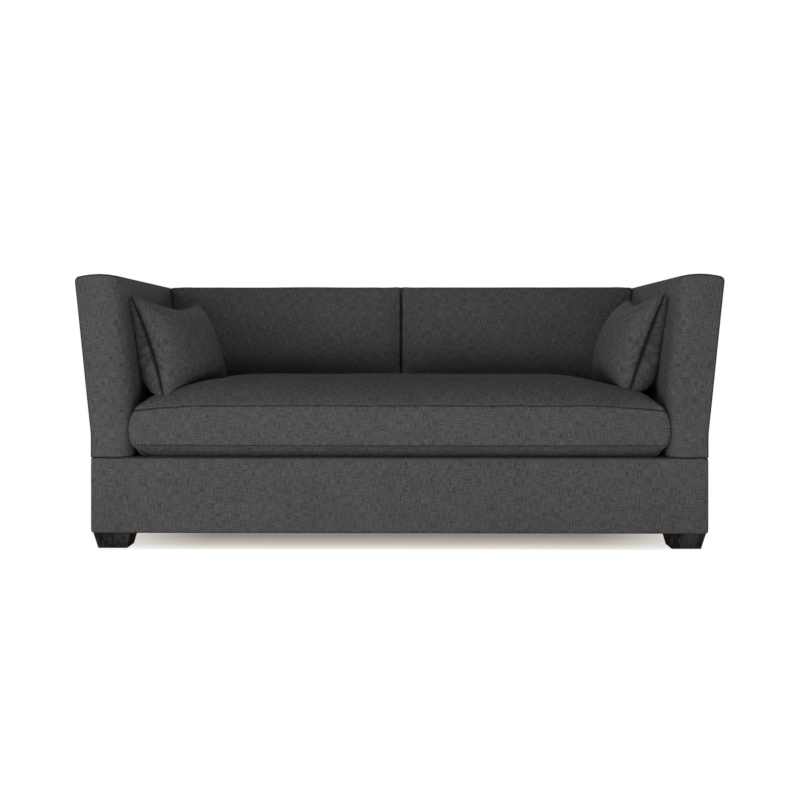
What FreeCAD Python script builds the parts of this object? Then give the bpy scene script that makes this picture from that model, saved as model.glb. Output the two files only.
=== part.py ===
"""Two-seat sofa with flared arms, one bench seat cushion, two back cushions and two throw pillows.

Frame: X to the right, Y to the back, Z up. The origin is on the floor under the middle of the
sofa. All sizes are in millimetres.
"""
import FreeCAD, Part

import math
import os
from collections import namedtuple

from FreeCAD import Placement, Rotation, Vector

# Base
DEPTH = 950.0
BASE_WIDTH = 1738.0
FOOT_HEIGHT = 44.0
BASE_HEIGHT = 214.0
BASE_EDGE_RADIUS = 10.0
PADDING = 18.0
CUT_MARGIN = 1.0

# Arms: the outer face leans out from a little above the seam, the top is crowned
ARM_HEIGHT = 517.0
ARM_THICKNESS = 109.0
ARM_TOP_THICKNESS = 124.0
ARM_FLARE = 47.0
ARM_OUTER_BEND = 66.0
ARM_INNER_BEND = 210.0
ARM_CROWN_RADIUS = 245.0
ARM_CROWN_INSET = 72.0
ARM_SHOULDER_RADIUS = 18.0
ARM_FRONT_ROUND = 40.0

# Back
BACK_HEIGHT = 516.0
BACK_TOP_DEPTH = 100.0
BACK_LEAN = 6.1
BACK_TOP_ROUND = 24.0

# Timber frame
BOARD = 25.0
FRAME_LIFT = 2.0
SPRING_RAIL_HEIGHT = 40.0
STRETCHER_HEIGHT = 90.0
CORNER_BLOCK_LEG = 90.0
CORNER_BLOCK_HEIGHT = 80.0
ARM_TOP_RAIL_HEIGHT = 24.0
ARM_LOWER_RAIL_HEIGHT = 60.0
BACK_TOP_RAIL_HEIGHT = 60.0
BACK_LOWER_RAIL_HEIGHT = 50.0
BACK_UPRIGHT_WIDTH = 50.0
BACK_UPRIGHT_SPACING = 500.0

# Feet and the bolts that hold them
FOOT_TOP = 104.0
FOOT_BOTTOM = 82.0
FOOT_SETBACK = 7.0
BOLT_RADIUS = 4.0
BOLT_IN_FOOT = 30.0
BOLT_IN_BLOCK = 46.0
FOOT_PLATE = 50.0
FOOT_PLATE_GAP = 0.3

# Seat suspension
SEAT_SPRINGS = 8
SPRING_SPACING = 190.0
SPRING_WIRE = 4.0
SPRING_WIDTH = 52.0
SPRING_BENDS = 16
SPRING_RISE = 20.0
CLIP_WIDTH = 30.0
CLIP_PLATE = 2.0
CLIP_GAP = 0.5
CLIP_DEPTH = 18.0
TIE_WIRE = 3.0
TIE_WIRES = 3
TIE_SPACING = 200.0
DECK = 10.0

# Back webbing
BACK_STRAPS = 6
STRAP_SPACING = 210.0
STRAP_WIDTH = 50.0
STRAP = 2.0

# Cushions and pillows
REST_CLEARANCE = 0.3
COVER = 2.0
DRAW_IN = 0.006
OUTLINE_TRIM = 1.5
CREST_STEP = 2.0
CORE_CLEARANCE = 0.3
SEAT_CUSHION_SETBACK = 1.0
SEAT_LOWER_SEAM = 32.0
SEAT_UPPER_SEAM = 142.0
SEAT_CROWN = 75.0
SEAT_SEAM_ARCH = 18.0
SEAT_CORNER = 42.0
SEAT_UNDERCUT = 14.0
SEAT_SEAM_INSET = 4.0
SEAT_CROWN_SPREAD = 240.0
BACK_CUSHION_GAP = 1.0
BACK_CUSHION_BOTTOM = 138.0
BACK_CUSHION_TOP = 509.0
BACK_FRONT_SEAM = 128.0
BACK_CROWN = 28.0
BACK_CORNER = 26.0
BACK_SEAM_INSET = 12.0
BACK_CROWN_SPREAD = 150.0
PILLOW_WIDTH = 450.0
PILLOW_HEIGHT = 325.0
PILLOW_FRONT = 104.0
PILLOW_BACK = 54.0
PILLOW_CORNER = 22.0
PILLOW_EDGE = 1.5
PILLOW_LEAN = 18.0
PILLOW_ABOVE_DECK = 316.0
PILLOW_RIGHT_BEFORE_BACK = 446.0
PILLOW_RIGHT_TURN = 3.0
PILLOW_RIGHT_INSIDE = 65.0
PILLOW_LEFT_BEFORE_BACK = 520.0
PILLOW_LEFT_TURN = 17.0
PILLOW_LEFT_INSIDE = 104.0

# Places that follow from the sizes above
SAME = 1e-3
FRONT = -DEPTH / 2
REAR = DEPTH / 2
HALF_BASE = BASE_WIDTH / 2
SEAM = FOOT_HEIGHT + BASE_HEIGHT
ARM_TOP = SEAM + ARM_HEIGHT
BACK_TOP = SEAM + BACK_HEIGHT
FRAME_BOTTOM = FOOT_HEIGHT + FRAME_LIFT
FRAME_FRONT = FRONT + PADDING
FRAME_REAR = REAR - PADDING
FRAME_SIDE = HALF_BASE - PADDING
ARM_INNER = HALF_BASE - ARM_THICKNESS
DECK_BOTTOM = SEAM - DECK
SPRING_CREST = DECK_BOTTOM - TIE_WIRE
SPRING_END = SPRING_CREST - SPRING_RISE
SPRING_RAIL_TOP = SPRING_END - SPRING_WIRE - CLIP_PLATE - CLIP_GAP
SIDES = (("left", -1), ("right", 1))
Boxing = namedtuple("Boxing", "undercut inset lower upper crown spread")
SEAT_BOXING = Boxing(SEAT_UNDERCUT, SEAT_SEAM_INSET, SEAT_LOWER_SEAM, SEAT_UPPER_SEAM, SEAT_CROWN,
                     SEAT_CROWN_SPREAD)
BACK_BOXING = Boxing(BACK_SEAM_INSET, BACK_SEAM_INSET, 0.0, BACK_FRONT_SEAM, BACK_CROWN,
                     BACK_CROWN_SPREAD)
PILLOW_PLACES = {
    "left": (PILLOW_LEFT_TURN, PILLOW_LEFT_BEFORE_BACK, PILLOW_LEFT_INSIDE),
    "right": (PILLOW_RIGHT_TURN, PILLOW_RIGHT_BEFORE_BACK, PILLOW_RIGHT_INSIDE),
}


def box(x, y, z):
    """Block between two values on each axis."""
    low = Vector(min(x), min(y), min(z))
    return Part.makeBox(max(x) - low.x, max(y) - low.y, max(z) - low.z, low)


def closed_wire(edges):
    return Part.Wire(Part.__sortEdges__(edges))


def polygon(points):
    return Part.makePolygon([*points, points[0]])


def prism(wire, direction):
    return Part.Face(wire).extrude(direction)


def mirrored(shape, side):
    """The shape as it is for the right side, mirrored for the left."""
    if side > 0:
        return shape
    return shape.mirror(Vector(0, 0, 0), Vector(1, 0, 0))


def group(shapes):
    return Part.makeCompound(shapes)


def save(name, shape):
    shape.exportStep(f"parts/{name}.step")


# Arms

def crown_drop(distance):
    """How far the crowned arm top falls at a distance from its highest line."""
    return ARM_CROWN_RADIUS - math.sqrt(ARM_CROWN_RADIUS ** 2 - distance ** 2)


OUTER_SHOULDER = HALF_BASE + ARM_FLARE
INNER_SHOULDER = OUTER_SHOULDER - ARM_TOP_THICKNESS
CROWN_LINE = OUTER_SHOULDER - ARM_CROWN_INSET
OUTER_SHOULDER_Z = ARM_TOP - crown_drop(ARM_CROWN_INSET)
INNER_SHOULDER_Z = ARM_TOP - crown_drop(CROWN_LINE - INNER_SHOULDER)
INNER_BEND_Z = SEAM + ARM_INNER_BEND
INNER_SLOPE = (INNER_SHOULDER - ARM_INNER) / (INNER_SHOULDER_Z - INNER_BEND_Z)


def arm_inner_x(z, inset=0.0):
    """The arm's inner face at a height, moved into the arm by an inset."""
    return ARM_INNER + max(0.0, z - INNER_BEND_Z) * INNER_SLOPE + inset


def arm_outline(bottom, inset=0.0):
    """Section of the right arm across the sofa, from a bottom height up to the crowned top."""
    outer_low = Vector(HALF_BASE - inset, 0, bottom)
    outer_bend = Vector(HALF_BASE - inset, 0, SEAM + ARM_OUTER_BEND)
    outer_top = Vector(OUTER_SHOULDER - inset, 0, OUTER_SHOULDER_Z - inset)
    crown = Vector(CROWN_LINE, 0, ARM_TOP - inset)
    inner_top = Vector(INNER_SHOULDER + inset, 0, INNER_SHOULDER_Z - inset)
    inner_bend = Vector(ARM_INNER + inset, 0, INNER_BEND_Z)
    inner_low = Vector(ARM_INNER + inset, 0, bottom)
    return Part.Wire([
        Part.makeLine(outer_low, outer_bend),
        Part.makeLine(outer_bend, outer_top),
        Part.Arc(outer_top, crown, inner_top).toShape(),
        Part.makeLine(inner_top, inner_bend),
        Part.makeLine(inner_bend, inner_low),
        Part.makeLine(inner_low, outer_low),
    ])


def arm_prism(front, rear, bottom, inset=0.0):
    solid = prism(arm_outline(bottom, inset), Vector(0, rear - front, 0))
    solid.translate(Vector(0, front, 0))
    return solid


def shoulder_edges(solid):
    """The two long edges where the arm's crowned top meets its faces."""
    lengthwise = [
        edge for edge in solid.Edges
        if edge.BoundBox.YLength > SAME and max(edge.BoundBox.XLength, edge.BoundBox.ZLength) < SAME
    ]
    lengthwise.sort(key=lambda edge: edge.BoundBox.ZMax)
    return lengthwise[-2:]


def front_round(x, low, length, lean):
    """What is taken off the arm's inner front corner from a height up, along a leaning edge."""
    radius = ARM_FRONT_ROUND
    reach = radius * (1 - math.sqrt(0.5))
    outside = Vector(x - CUT_MARGIN, FRONT - CUT_MARGIN, low)
    across = Vector(x + radius, FRONT - CUT_MARGIN, low)
    start = Vector(x + radius, FRONT, low)
    middle = Vector(x + reach, FRONT + reach, low)
    end = Vector(x, FRONT + radius, low)
    back = Vector(x - CUT_MARGIN, FRONT + radius, low)
    wire = Part.Wire([
        Part.makeLine(outside, across),
        Part.makeLine(across, start),
        Part.Arc(start, middle, end).toShape(),
        Part.makeLine(end, back),
        Part.makeLine(back, outside),
    ])
    tool = prism(wire, Vector(0, 0, length))
    tool.rotate(Vector(x, 0, low), Vector(0, 1, 0), lean)
    return tool


def arm_cover():
    """Padded cover of the right arm: closed in front, open below, and open behind."""
    outer = arm_prism(FRONT, FRAME_REAR, SEAM)
    outer = outer.makeFillet(ARM_SHOULDER_RADIUS, shoulder_edges(outer))
    outer = outer.cut(front_round(ARM_INNER, SEAM - CUT_MARGIN, INNER_BEND_Z - SEAM + CUT_MARGIN, 0))
    outer = outer.cut(front_round(ARM_INNER, INNER_BEND_Z, ARM_HEIGHT, math.degrees(math.atan(INNER_SLOPE))))
    cavity = arm_prism(FRAME_FRONT, REAR, FRAME_BOTTOM, PADDING)
    window = box(
        (ARM_INNER - PADDING, arm_inner_x(BACK_TOP, PADDING + CUT_MARGIN)),
        (back_face_y(BACK_TOP) + PADDING, REAR),
        (FRAME_BOTTOM, BACK_TOP - PADDING),
    )
    return outer.cut(cavity).cut(window)


def arm_post(front):
    """Board cut to the arm's outline, from the bottom of the frame to the arm top."""
    return arm_prism(front, front + BOARD, FRAME_BOTTOM, PADDING)


def arm_top_rail():
    inside = arm_prism(FRAME_FRONT + BOARD, FRAME_REAR - BOARD, FRAME_BOTTOM, PADDING)
    low = OUTER_SHOULDER_Z - PADDING - ARM_TOP_RAIL_HEIGHT
    return inside.common(box((0, 2 * HALF_BASE), (FRONT, REAR), (low, ARM_TOP)))


def arm_lower_rail():
    low_x = ARM_INNER + PADDING
    return box((low_x, low_x + BOARD), (FRAME_FRONT + BOARD, FRAME_REAR - BOARD),
               (SEAM, SEAM + ARM_LOWER_RAIL_HEIGHT))


# Back

BACK_SLOPE = math.tan(math.radians(BACK_LEAN))
BACK_TOP_Y = REAR - BACK_TOP_DEPTH


def back_face_y(z):
    """Front of the upholstered back at a height."""
    return BACK_TOP_Y - (BACK_TOP - z) * BACK_SLOPE


def between_arms(front, rear, bottom, top, inset=0.0):
    """Block that fills the width between the flared inner faces of the arms."""
    heights = [bottom, top]
    if bottom < INNER_BEND_Z < top:
        heights = [bottom, INNER_BEND_Z, top]
    right = [Vector(arm_inner_x(z, inset), front, z) for z in heights]
    left = [Vector(-point.x, point.y, point.z) for point in reversed(right)]
    return prism(polygon(right + left), Vector(0, rear - front, 0))


def inside_back():
    """Padded front and top of the back, between the arms."""
    thick = PADDING / math.cos(math.radians(BACK_LEAN))
    low = back_face_y(SEAM)
    low_inside = Vector(0, low + thick, SEAM)
    under_top = BACK_TOP - PADDING
    corner_inside = Vector(0, back_face_y(under_top) + thick, under_top)
    outline = polygon([
        Vector(0, low, SEAM),
        Vector(0, BACK_TOP_Y, BACK_TOP),
        Vector(0, FRAME_REAR, BACK_TOP),
        Vector(0, FRAME_REAR, under_top),
        corner_inside,
        low_inside,
    ])
    solid = prism(outline, Vector(2 * OUTER_SHOULDER, 0, 0))
    solid.translate(Vector(-OUTER_SHOULDER, 0, 0))
    front_top = [
        edge for edge in solid.Edges
        if edge.BoundBox.XLength > SAME and abs(edge.BoundBox.YMax - BACK_TOP_Y) < SAME
        and abs(edge.BoundBox.ZMax - BACK_TOP) < SAME
    ]
    solid = solid.makeFillet(min(BACK_TOP_ROUND, BACK_TOP_DEPTH / 2), front_top)
    return solid.common(between_arms(FRONT, REAR, SEAM, BACK_TOP))


def outside_back():
    """Padded panel over the whole rear above the seam, to the arms' outline at each end."""
    arm = arm_prism(FRAME_REAR, REAR, SEAM)
    arm = arm.makeFillet(ARM_SHOULDER_RADIUS, shoulder_edges(arm))
    middle = between_arms(FRAME_REAR, REAR, SEAM, BACK_TOP, ARM_SHOULDER_RADIUS)
    return middle.fuse([arm, mirrored(arm, -1)]).removeSplitter()


def back_top_rail():
    top = BACK_TOP - PADDING
    return between_arms(FRAME_REAR - BOARD, FRAME_REAR, top - BACK_TOP_RAIL_HEIGHT, top, PADDING)


def back_lower_rail():
    half = ARM_INNER + PADDING
    return box((-half, half), (FRAME_REAR - BOARD, FRAME_REAR), (SEAM, SEAM + BACK_LOWER_RAIL_HEIGHT))


def back_uprights():
    low = SEAM + BACK_LOWER_RAIL_HEIGHT
    high = BACK_TOP - PADDING - BACK_TOP_RAIL_HEIGHT
    half = BACK_UPRIGHT_WIDTH / 2
    return group([
        box((x - half, x + half), (FRAME_REAR - BOARD, FRAME_REAR), (low, high))
        for x in (-BACK_UPRIGHT_SPACING, 0.0, BACK_UPRIGHT_SPACING)
    ])


def back_webbing():
    """Elastic straps stapled to the front of the lower and top back rails."""
    face = FRAME_REAR - BOARD
    low = SEAM + BACK_LOWER_RAIL_HEIGHT / 4
    high = BACK_TOP - PADDING - BACK_TOP_RAIL_HEIGHT / 4
    half = STRAP_WIDTH / 2
    places = [(n - (BACK_STRAPS - 1) / 2) * STRAP_SPACING for n in range(BACK_STRAPS)]
    return group([box((x - half, x + half), (face - STRAP, face), (low, high)) for x in places])


# Base covers

def outside_edges(panel):
    """Edges of a base panel that show at its bottom and at the corners of the base."""
    chosen = []
    for edge in panel.Edges:
        middle = edge.BoundBox.Center
        at_side = abs(abs(middle.x) - HALF_BASE) < SAME
        at_end = abs(abs(middle.y) - DEPTH / 2) < SAME
        at_bottom = abs(middle.z - FOOT_HEIGHT) < SAME
        if at_side + at_end + at_bottom == 2:
            chosen.append(edge)
    return chosen


def rounded_panel(panel):
    return panel.makeFillet(min(BASE_EDGE_RADIUS, PADDING - CUT_MARGIN), outside_edges(panel))


def end_panel(side):
    """Padded front or rear panel of the base, over its whole width."""
    outer = side * DEPTH / 2
    return rounded_panel(box((-HALF_BASE, HALF_BASE), (outer, outer - side * PADDING), (FOOT_HEIGHT, SEAM)))


def side_panel():
    """Padded right side panel of the base, between the front and rear panels."""
    return rounded_panel(box((FRAME_SIDE, HALF_BASE), (FRAME_FRONT, FRAME_REAR), (FOOT_HEIGHT, SEAM)))


# Feet

FOOT_CENTRE_X = HALF_BASE - FOOT_SETBACK - FOOT_TOP / 2
FOOT_CENTRE_Y = DEPTH / 2 - FOOT_SETBACK - FOOT_TOP / 2
FOOT_PLACES = {
    "front_left": (-FOOT_CENTRE_X, -FOOT_CENTRE_Y),
    "front_right": (FOOT_CENTRE_X, -FOOT_CENTRE_Y),
    "rear_left": (-FOOT_CENTRE_X, FOOT_CENTRE_Y),
    "rear_right": (FOOT_CENTRE_X, FOOT_CENTRE_Y),
}


def square(x, y, size, z):
    half = size / 2
    return polygon([
        Vector(x - half, y - half, z),
        Vector(x + half, y - half, z),
        Vector(x + half, y + half, z),
        Vector(x - half, y + half, z),
    ])


def post(x, y, radius, low, high):
    return Part.makeCylinder(radius, high - low, Vector(x, y, low))


def foot(x, y):
    """Square block foot, tapered on all four sides, with a blind hole for its bolt."""
    low = square(x, y, FOOT_BOTTOM, 0)
    high = square(x, y, FOOT_TOP, FOOT_HEIGHT)
    sides = []
    for lower, upper in zip(low.Edges, high.Edges):
        start, end = (vertex.Point for vertex in lower.Vertexes)
        above_start, above_end = (vertex.Point for vertex in upper.Vertexes)
        sides.append(Part.Face(polygon([start, end, above_end, above_start])))
    block = Part.makeSolid(Part.makeShell([Part.Face(low), Part.Face(high), *sides]))
    return block.cut(post(x, y, BOLT_RADIUS, FOOT_HEIGHT - BOLT_IN_FOOT, FOOT_HEIGHT))


def foot_bolt(x, y):
    return post(x, y, BOLT_RADIUS, FOOT_HEIGHT - BOLT_IN_FOOT, FRAME_BOTTOM + BOLT_IN_BLOCK)


def foot_plate(x, y):
    """Square steel plate under the frame, between it and a foot, threaded for the foot's bolt."""
    half = FOOT_PLATE / 2
    plate = box((x - half, x + half), (y - half, y + half), (FOOT_HEIGHT, FRAME_BOTTOM))
    return plate.cut(foot_bolt(x, y))


def corner_block(x, y):
    """Glued triangular block in a corner of the frame, bored for the bolt of a foot."""
    toward_x = math.copysign(1, x)
    toward_y = math.copysign(1, y)
    corner_x = toward_x * (FRAME_SIDE - BOARD)
    corner_y = toward_y * (FRAME_REAR - BOARD)
    triangle = polygon([
        Vector(corner_x, corner_y, FRAME_BOTTOM),
        Vector(corner_x - toward_x * CORNER_BLOCK_LEG, corner_y, FRAME_BOTTOM),
        Vector(corner_x, corner_y - toward_y * CORNER_BLOCK_LEG, FRAME_BOTTOM),
    ])
    block = prism(triangle, Vector(0, 0, CORNER_BLOCK_HEIGHT))
    return block.cut(foot_bolt(x, y))


def dust_cover():
    """Thin cloth under the frame, cut out round the plate of each foot."""
    cloth = box((-FRAME_SIDE, FRAME_SIDE), (FRAME_FRONT, FRAME_REAR), (FOOT_HEIGHT, FRAME_BOTTOM))
    half = FOOT_PLATE / 2 + FOOT_PLATE_GAP
    for x, y in FOOT_PLACES.values():
        cloth = cloth.cut(box((x - half, x + half), (y - half, y + half), (FOOT_HEIGHT, FRAME_BOTTOM)))
    return cloth


# Base frame

def end_rail(side):
    """Front or rear rail, between the arm posts."""
    outer = side * (DEPTH / 2 - PADDING)
    half = ARM_INNER + PADDING
    return box((-half, half), (outer, outer - side * BOARD), (FRAME_BOTTOM, SEAM))


def side_rail():
    return box((FRAME_SIDE - BOARD, FRAME_SIDE), (FRAME_FRONT + BOARD, FRAME_REAR - BOARD),
               (FRAME_BOTTOM, SEAM))


def spring_rail(side):
    """Ledger that carries the spring clips, fixed inside the front or rear rail."""
    outer = side * (DEPTH / 2 - PADDING - BOARD)
    half = FRAME_SIDE - BOARD
    return box((-half, half), (outer, outer - side * BOARD),
               (SPRING_RAIL_TOP - SPRING_RAIL_HEIGHT, SPRING_RAIL_TOP))


def centre_stretcher():
    reach = DEPTH / 2 - PADDING - BOARD
    return box((-BOARD / 2, BOARD / 2), (-reach, reach), (FRAME_BOTTOM, FRAME_BOTTOM + STRETCHER_HEIGHT))


def seat_deck():
    """Felt pad and cloth stretched over the springs, level with the rails."""
    half = FRAME_SIDE - BOARD
    return box((-half, half), (FRAME_FRONT + BOARD, FRAME_REAR - BOARD), (DECK_BOTTOM, SEAM))


# Seat suspension

SPRING_REACH = DEPTH / 2 - PADDING - 2 * BOARD + CLIP_DEPTH - CLIP_PLATE
SPRING_ARC = (SPRING_REACH ** 2 + SPRING_RISE ** 2) / (2 * SPRING_RISE)
SPRING_LINES = [(n - (SEAT_SPRINGS - 1) / 2) * SPRING_SPACING for n in range(SEAT_SPRINGS)]


SPRING_BAR_REACH = SPRING_REACH - SPRING_WIRE / 2
SPRING_PITCH = 2 * SPRING_BAR_REACH / SPRING_BENDS
SPRING_BARS = [bar * SPRING_PITCH - SPRING_BAR_REACH for bar in range(SPRING_BENDS + 1)]


def arch_height(y):
    """Height of the springs' arch at a distance from the middle of the seat."""
    return SPRING_CREST - SPRING_ARC + math.sqrt(SPRING_ARC ** 2 - y ** 2)


def arch_line():
    """Upper line of a spring seen from the side: level at each cross bar, straight between."""
    half = SPRING_WIRE / 2
    return [Vector(0, y + step, arch_height(y)) for y in SPRING_BARS for step in (-half, half)]


def spring_top(y):
    """Height of a spring's upper line at a distance from the middle of the seat."""
    line = arch_line()
    for start, end in zip(line, line[1:]):
        if start.y <= y <= end.y:
            return start.z + (end.z - start.z) * (y - start.y) / (end.y - start.y)
    return line[-1].z


def mitre(before, corner, after, offset):
    """The corner moved to the left of the path by an offset, where the two offset runs meet."""
    into = (corner - before).normalize()
    out = (after - corner).normalize()
    left = Vector(-into.y, into.x, 0) + Vector(-out.y, out.x, 0)
    return corner + left * (offset / (1 + into.dot(out)))


def zigzag():
    """Flat outline of a zigzag wire: cross bars joined at alternate ends."""
    half = (SPRING_WIDTH - SPRING_WIRE) / 2
    path = []
    for bar, y in enumerate(SPRING_BARS):
        side = -half if bar % 2 else half
        path += [Vector(-side, y, 0), Vector(side, y, 0)]
    runs = [2 * path[0] - path[1], *path, 2 * path[-1] - path[-2]]
    outline = []
    for offset in (SPRING_WIRE / 2, -SPRING_WIRE / 2):
        edge = [mitre(*runs[n:n + 3], offset) for n in range(len(path))]
        outline += edge if offset > 0 else edge[::-1]
    return polygon(outline)


def arched_slab():
    """Slab one wire thick, bent to the springs' arch and wide enough for one spring."""
    top = arch_line()
    under = [point - Vector(0, 0, SPRING_WIRE) for point in reversed(top)]
    slab = prism(polygon(top + under), Vector(2 * SPRING_WIDTH, 0, 0))
    slab.translate(Vector(-SPRING_WIDTH, 0, 0))
    return slab


def seat_springs():
    flat = prism(zigzag(), Vector(0, 0, SPRING_CREST))
    spring = flat.common(arched_slab())
    springs = []
    for x in SPRING_LINES:
        placed = spring.copy()
        placed.translate(Vector(x, 0, 0))
        springs.append(placed)
    return group([solid for placed in springs for solid in placed.Solids])


def spring_clip(x, side):
    """Bent plate clip that holds the last bar of a spring on its rail."""
    inner = side * (DEPTH / 2 - PADDING - 2 * BOARD)
    outer = inner + side * CLIP_DEPTH
    half = CLIP_WIDTH / 2
    under = SPRING_RAIL_TOP + CLIP_PLATE
    over = SPRING_END + CLIP_GAP
    block = box((x - half, x + half), (inner, outer), (SPRING_RAIL_TOP, over + CLIP_PLATE))
    slot = box((x - half - 1, x + half + 1), (inner - side, outer - side * CLIP_PLATE), (under, over))
    return block.cut(slot)


def spring_clips():
    return group([spring_clip(x, side) for x in SPRING_LINES for side in (-1, 1)])


def tie_wires():
    """Wires across the springs, from side rail to side rail."""
    half = FRAME_SIDE - BOARD
    wires = []
    for n in range(TIE_WIRES):
        y = (n - (TIE_WIRES - 1) / 2) * TIE_SPACING
        low = spring_top(max(0.0, abs(y) - TIE_WIRE / 2))
        wires.append(box((-half, half), (y - TIE_WIRE / 2, y + TIE_WIRE / 2), (low, low + TIE_WIRE)))
    return group(wires)


# Cushions and pillows

def soft_outline(corners, inset, radius):
    """Rounded outline whose sides are drawn in towards their middles."""
    count = len(corners)
    moved = [mitre(corners[n - 1], corners[n], corners[(n + 1) % count], inset) for n in range(count)]
    starts, middles, ends = [], [], []
    for n, corner in enumerate(moved):
        into = (corner - moved[n - 1]).normalize()
        out = (moved[(n + 1) % count] - corner).normalize()
        half_turn = math.acos(into.dot(out)) / 2
        inward = (out - into).normalize()
        tangent = radius * math.tan(half_turn)
        starts.append(corner - into * tangent)
        ends.append(corner + out * tangent)
        middles.append(corner + inward * (radius / math.cos(half_turn) - radius))
    edges = []
    for n in range(count):
        following = starts[(n + 1) % count]
        run = (following - ends[n]).normalize()
        drawn = (following - ends[n]).Length * DRAW_IN
        side = (ends[n] + following) / 2 + Vector(-run.y, run.x, 0) * drawn
        edges.append(Part.Arc(starts[n], middles[n], ends[n]).toShape())
        edges.append(Part.Arc(ends[n], side, following).toShape())
    return Part.Wire(edges)


def along_x(a, height):
    return Vector(a, 0, height)


def along_y(a, height):
    return Vector(0, a, height)


def swept_profile(wire, place, reach):
    """Solid of a profile drawn along one axis and carried along the other, both ways."""
    direction = Vector(0, 1, 0) if place is along_x else Vector(1, 0, 0)
    solid = prism(wire, direction * (2 * reach))
    solid.translate(direction * -reach)
    return solid


def boxed_profile(place, low, high, boxing, grow):
    """Section of a boxed cushion: undercut below, bulged boxing, and a crown that flattens."""
    top = boxing.upper + boxing.crown + grow
    edges = []
    ends = []
    for end, inward in ((low - grow - OUTLINE_TRIM, 1), (high + grow + OUTLINE_TRIM, -1)):
        foot_point = place(end + inward * boxing.undercut, -grow)
        lower = place(end + inward * boxing.inset, max(boxing.lower, -grow))
        bulge = place(end, (boxing.lower + boxing.upper) / 2)
        upper = place(end + inward * boxing.inset, boxing.upper)
        spread = boxing.spread - boxing.inset
        rise = top - boxing.upper
        radius = (spread ** 2 + rise ** 2) / (2 * rise)
        half_way = top - radius + math.sqrt(radius ** 2 - (spread / 2) ** 2)
        shoulder = place(end + inward * (boxing.spread - spread / 2), half_way)
        flat = place(end + inward * boxing.spread, top)
        if foot_point.z < lower.z - 1e-6:
            edges.append(Part.makeLine(foot_point, lower))
        edges.append(Part.Arc(lower, bulge, upper).toShape())
        edges.append(Part.Arc(upper, shoulder, flat).toShape())
        ends.append((foot_point if foot_point.z < lower.z - 1e-6 else lower, flat))
    edges.append(Part.makeLine(ends[0][1], ends[1][1]))
    edges.append(Part.makeLine(ends[0][0], ends[1][0]))
    return closed_wire(edges)


def boxed_form(corners, boxing, arch, corner_radius, grow):
    """Boxed cushion body: its outline, cut to a section each way; the seams arch at the ends."""
    wide = [corner.x for corner in corners]
    deep = [corner.y for corner in corners]
    lowered = boxing._replace(upper=boxing.upper - arch, crown=boxing.crown + arch + CREST_STEP)
    tall = boxing.upper + boxing.crown + 2 * grow + 2
    outline = prism(soft_outline(corners, -grow, corner_radius), Vector(0, 0, tall + 2))
    outline.translate(Vector(0, 0, -grow - 1))
    reach = max(map(abs, wide + deep)) + 10
    lengthwise = swept_profile(boxed_profile(along_x, min(wide), max(wide), lowered, grow), along_x, reach)
    crosswise = swept_profile(boxed_profile(along_y, min(deep), max(deep), boxing, grow), along_y, reach)
    return outline.common(lengthwise).common(crosswise).Solids[0]


def covered(form):
    """Sewn cover with its closed hollow, and the filling that fits it with a clearance."""
    cover = form(0.0).cut(form(-COVER))
    return cover, form(-COVER - CORE_CLEARANCE)


def seat_form(grow):
    """Bench seat cushion: boxing between two seams, under a broad crown."""
    half = ARM_INNER - REST_CLEARANCE
    front = FRONT + SEAT_CUSHION_SETBACK
    rear = back_face_y(SEAM) - REST_CLEARANCE
    corners = [Vector(half, front, 0), Vector(half, rear, 0), Vector(-half, rear, 0), Vector(-half, front, 0)]
    form = boxed_form(corners, SEAT_BOXING, SEAT_SEAM_ARCH, SEAT_CORNER, grow)
    form.translate(Vector(0, 0, SEAM + REST_CLEARANCE))
    return form


def back_form(grow):
    """Right back cushion, leaning on the back, with its crown to the front."""
    def side_at(up):
        z = SEAM + up * math.cos(math.radians(BACK_LEAN))
        return ARM_INNER + (z - INNER_BEND_Z) * INNER_SLOPE - REST_CLEARANCE

    low, high = BACK_CUSHION_BOTTOM, BACK_CUSHION_TOP
    near = BACK_CUSHION_GAP / 2
    corners = [Vector(near, low, 0), Vector(side_at(low), low, 0), Vector(side_at(high), high, 0),
               Vector(near, high, 0)]
    form = boxed_form(corners, BACK_BOXING, 0.0, BACK_CORNER, grow)
    form.translate(Vector(0, 0, REST_CLEARANCE))
    lean = Rotation(Vector(1, 0, 0), 90 - BACK_LEAN)
    form.Placement = Placement(Vector(0, back_face_y(SEAM), SEAM), lean).multiply(form.Placement)
    return form.cut(seat_form(REST_CLEARANCE - grow)).Solids[0]


def lens_profile(place, width, grow):
    """Section of a knife-edged pillow: a full front and a flatter back that meet at the seam."""
    half = width / 2 + grow
    edges = [
        Part.Arc(place(-half, 0), place(0, PILLOW_FRONT + grow), place(half, 0)).toShape(),
        Part.Arc(place(-half, 0), place(0, -PILLOW_BACK - grow), place(half, 0)).toShape(),
    ]
    return closed_wire(edges)


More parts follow.
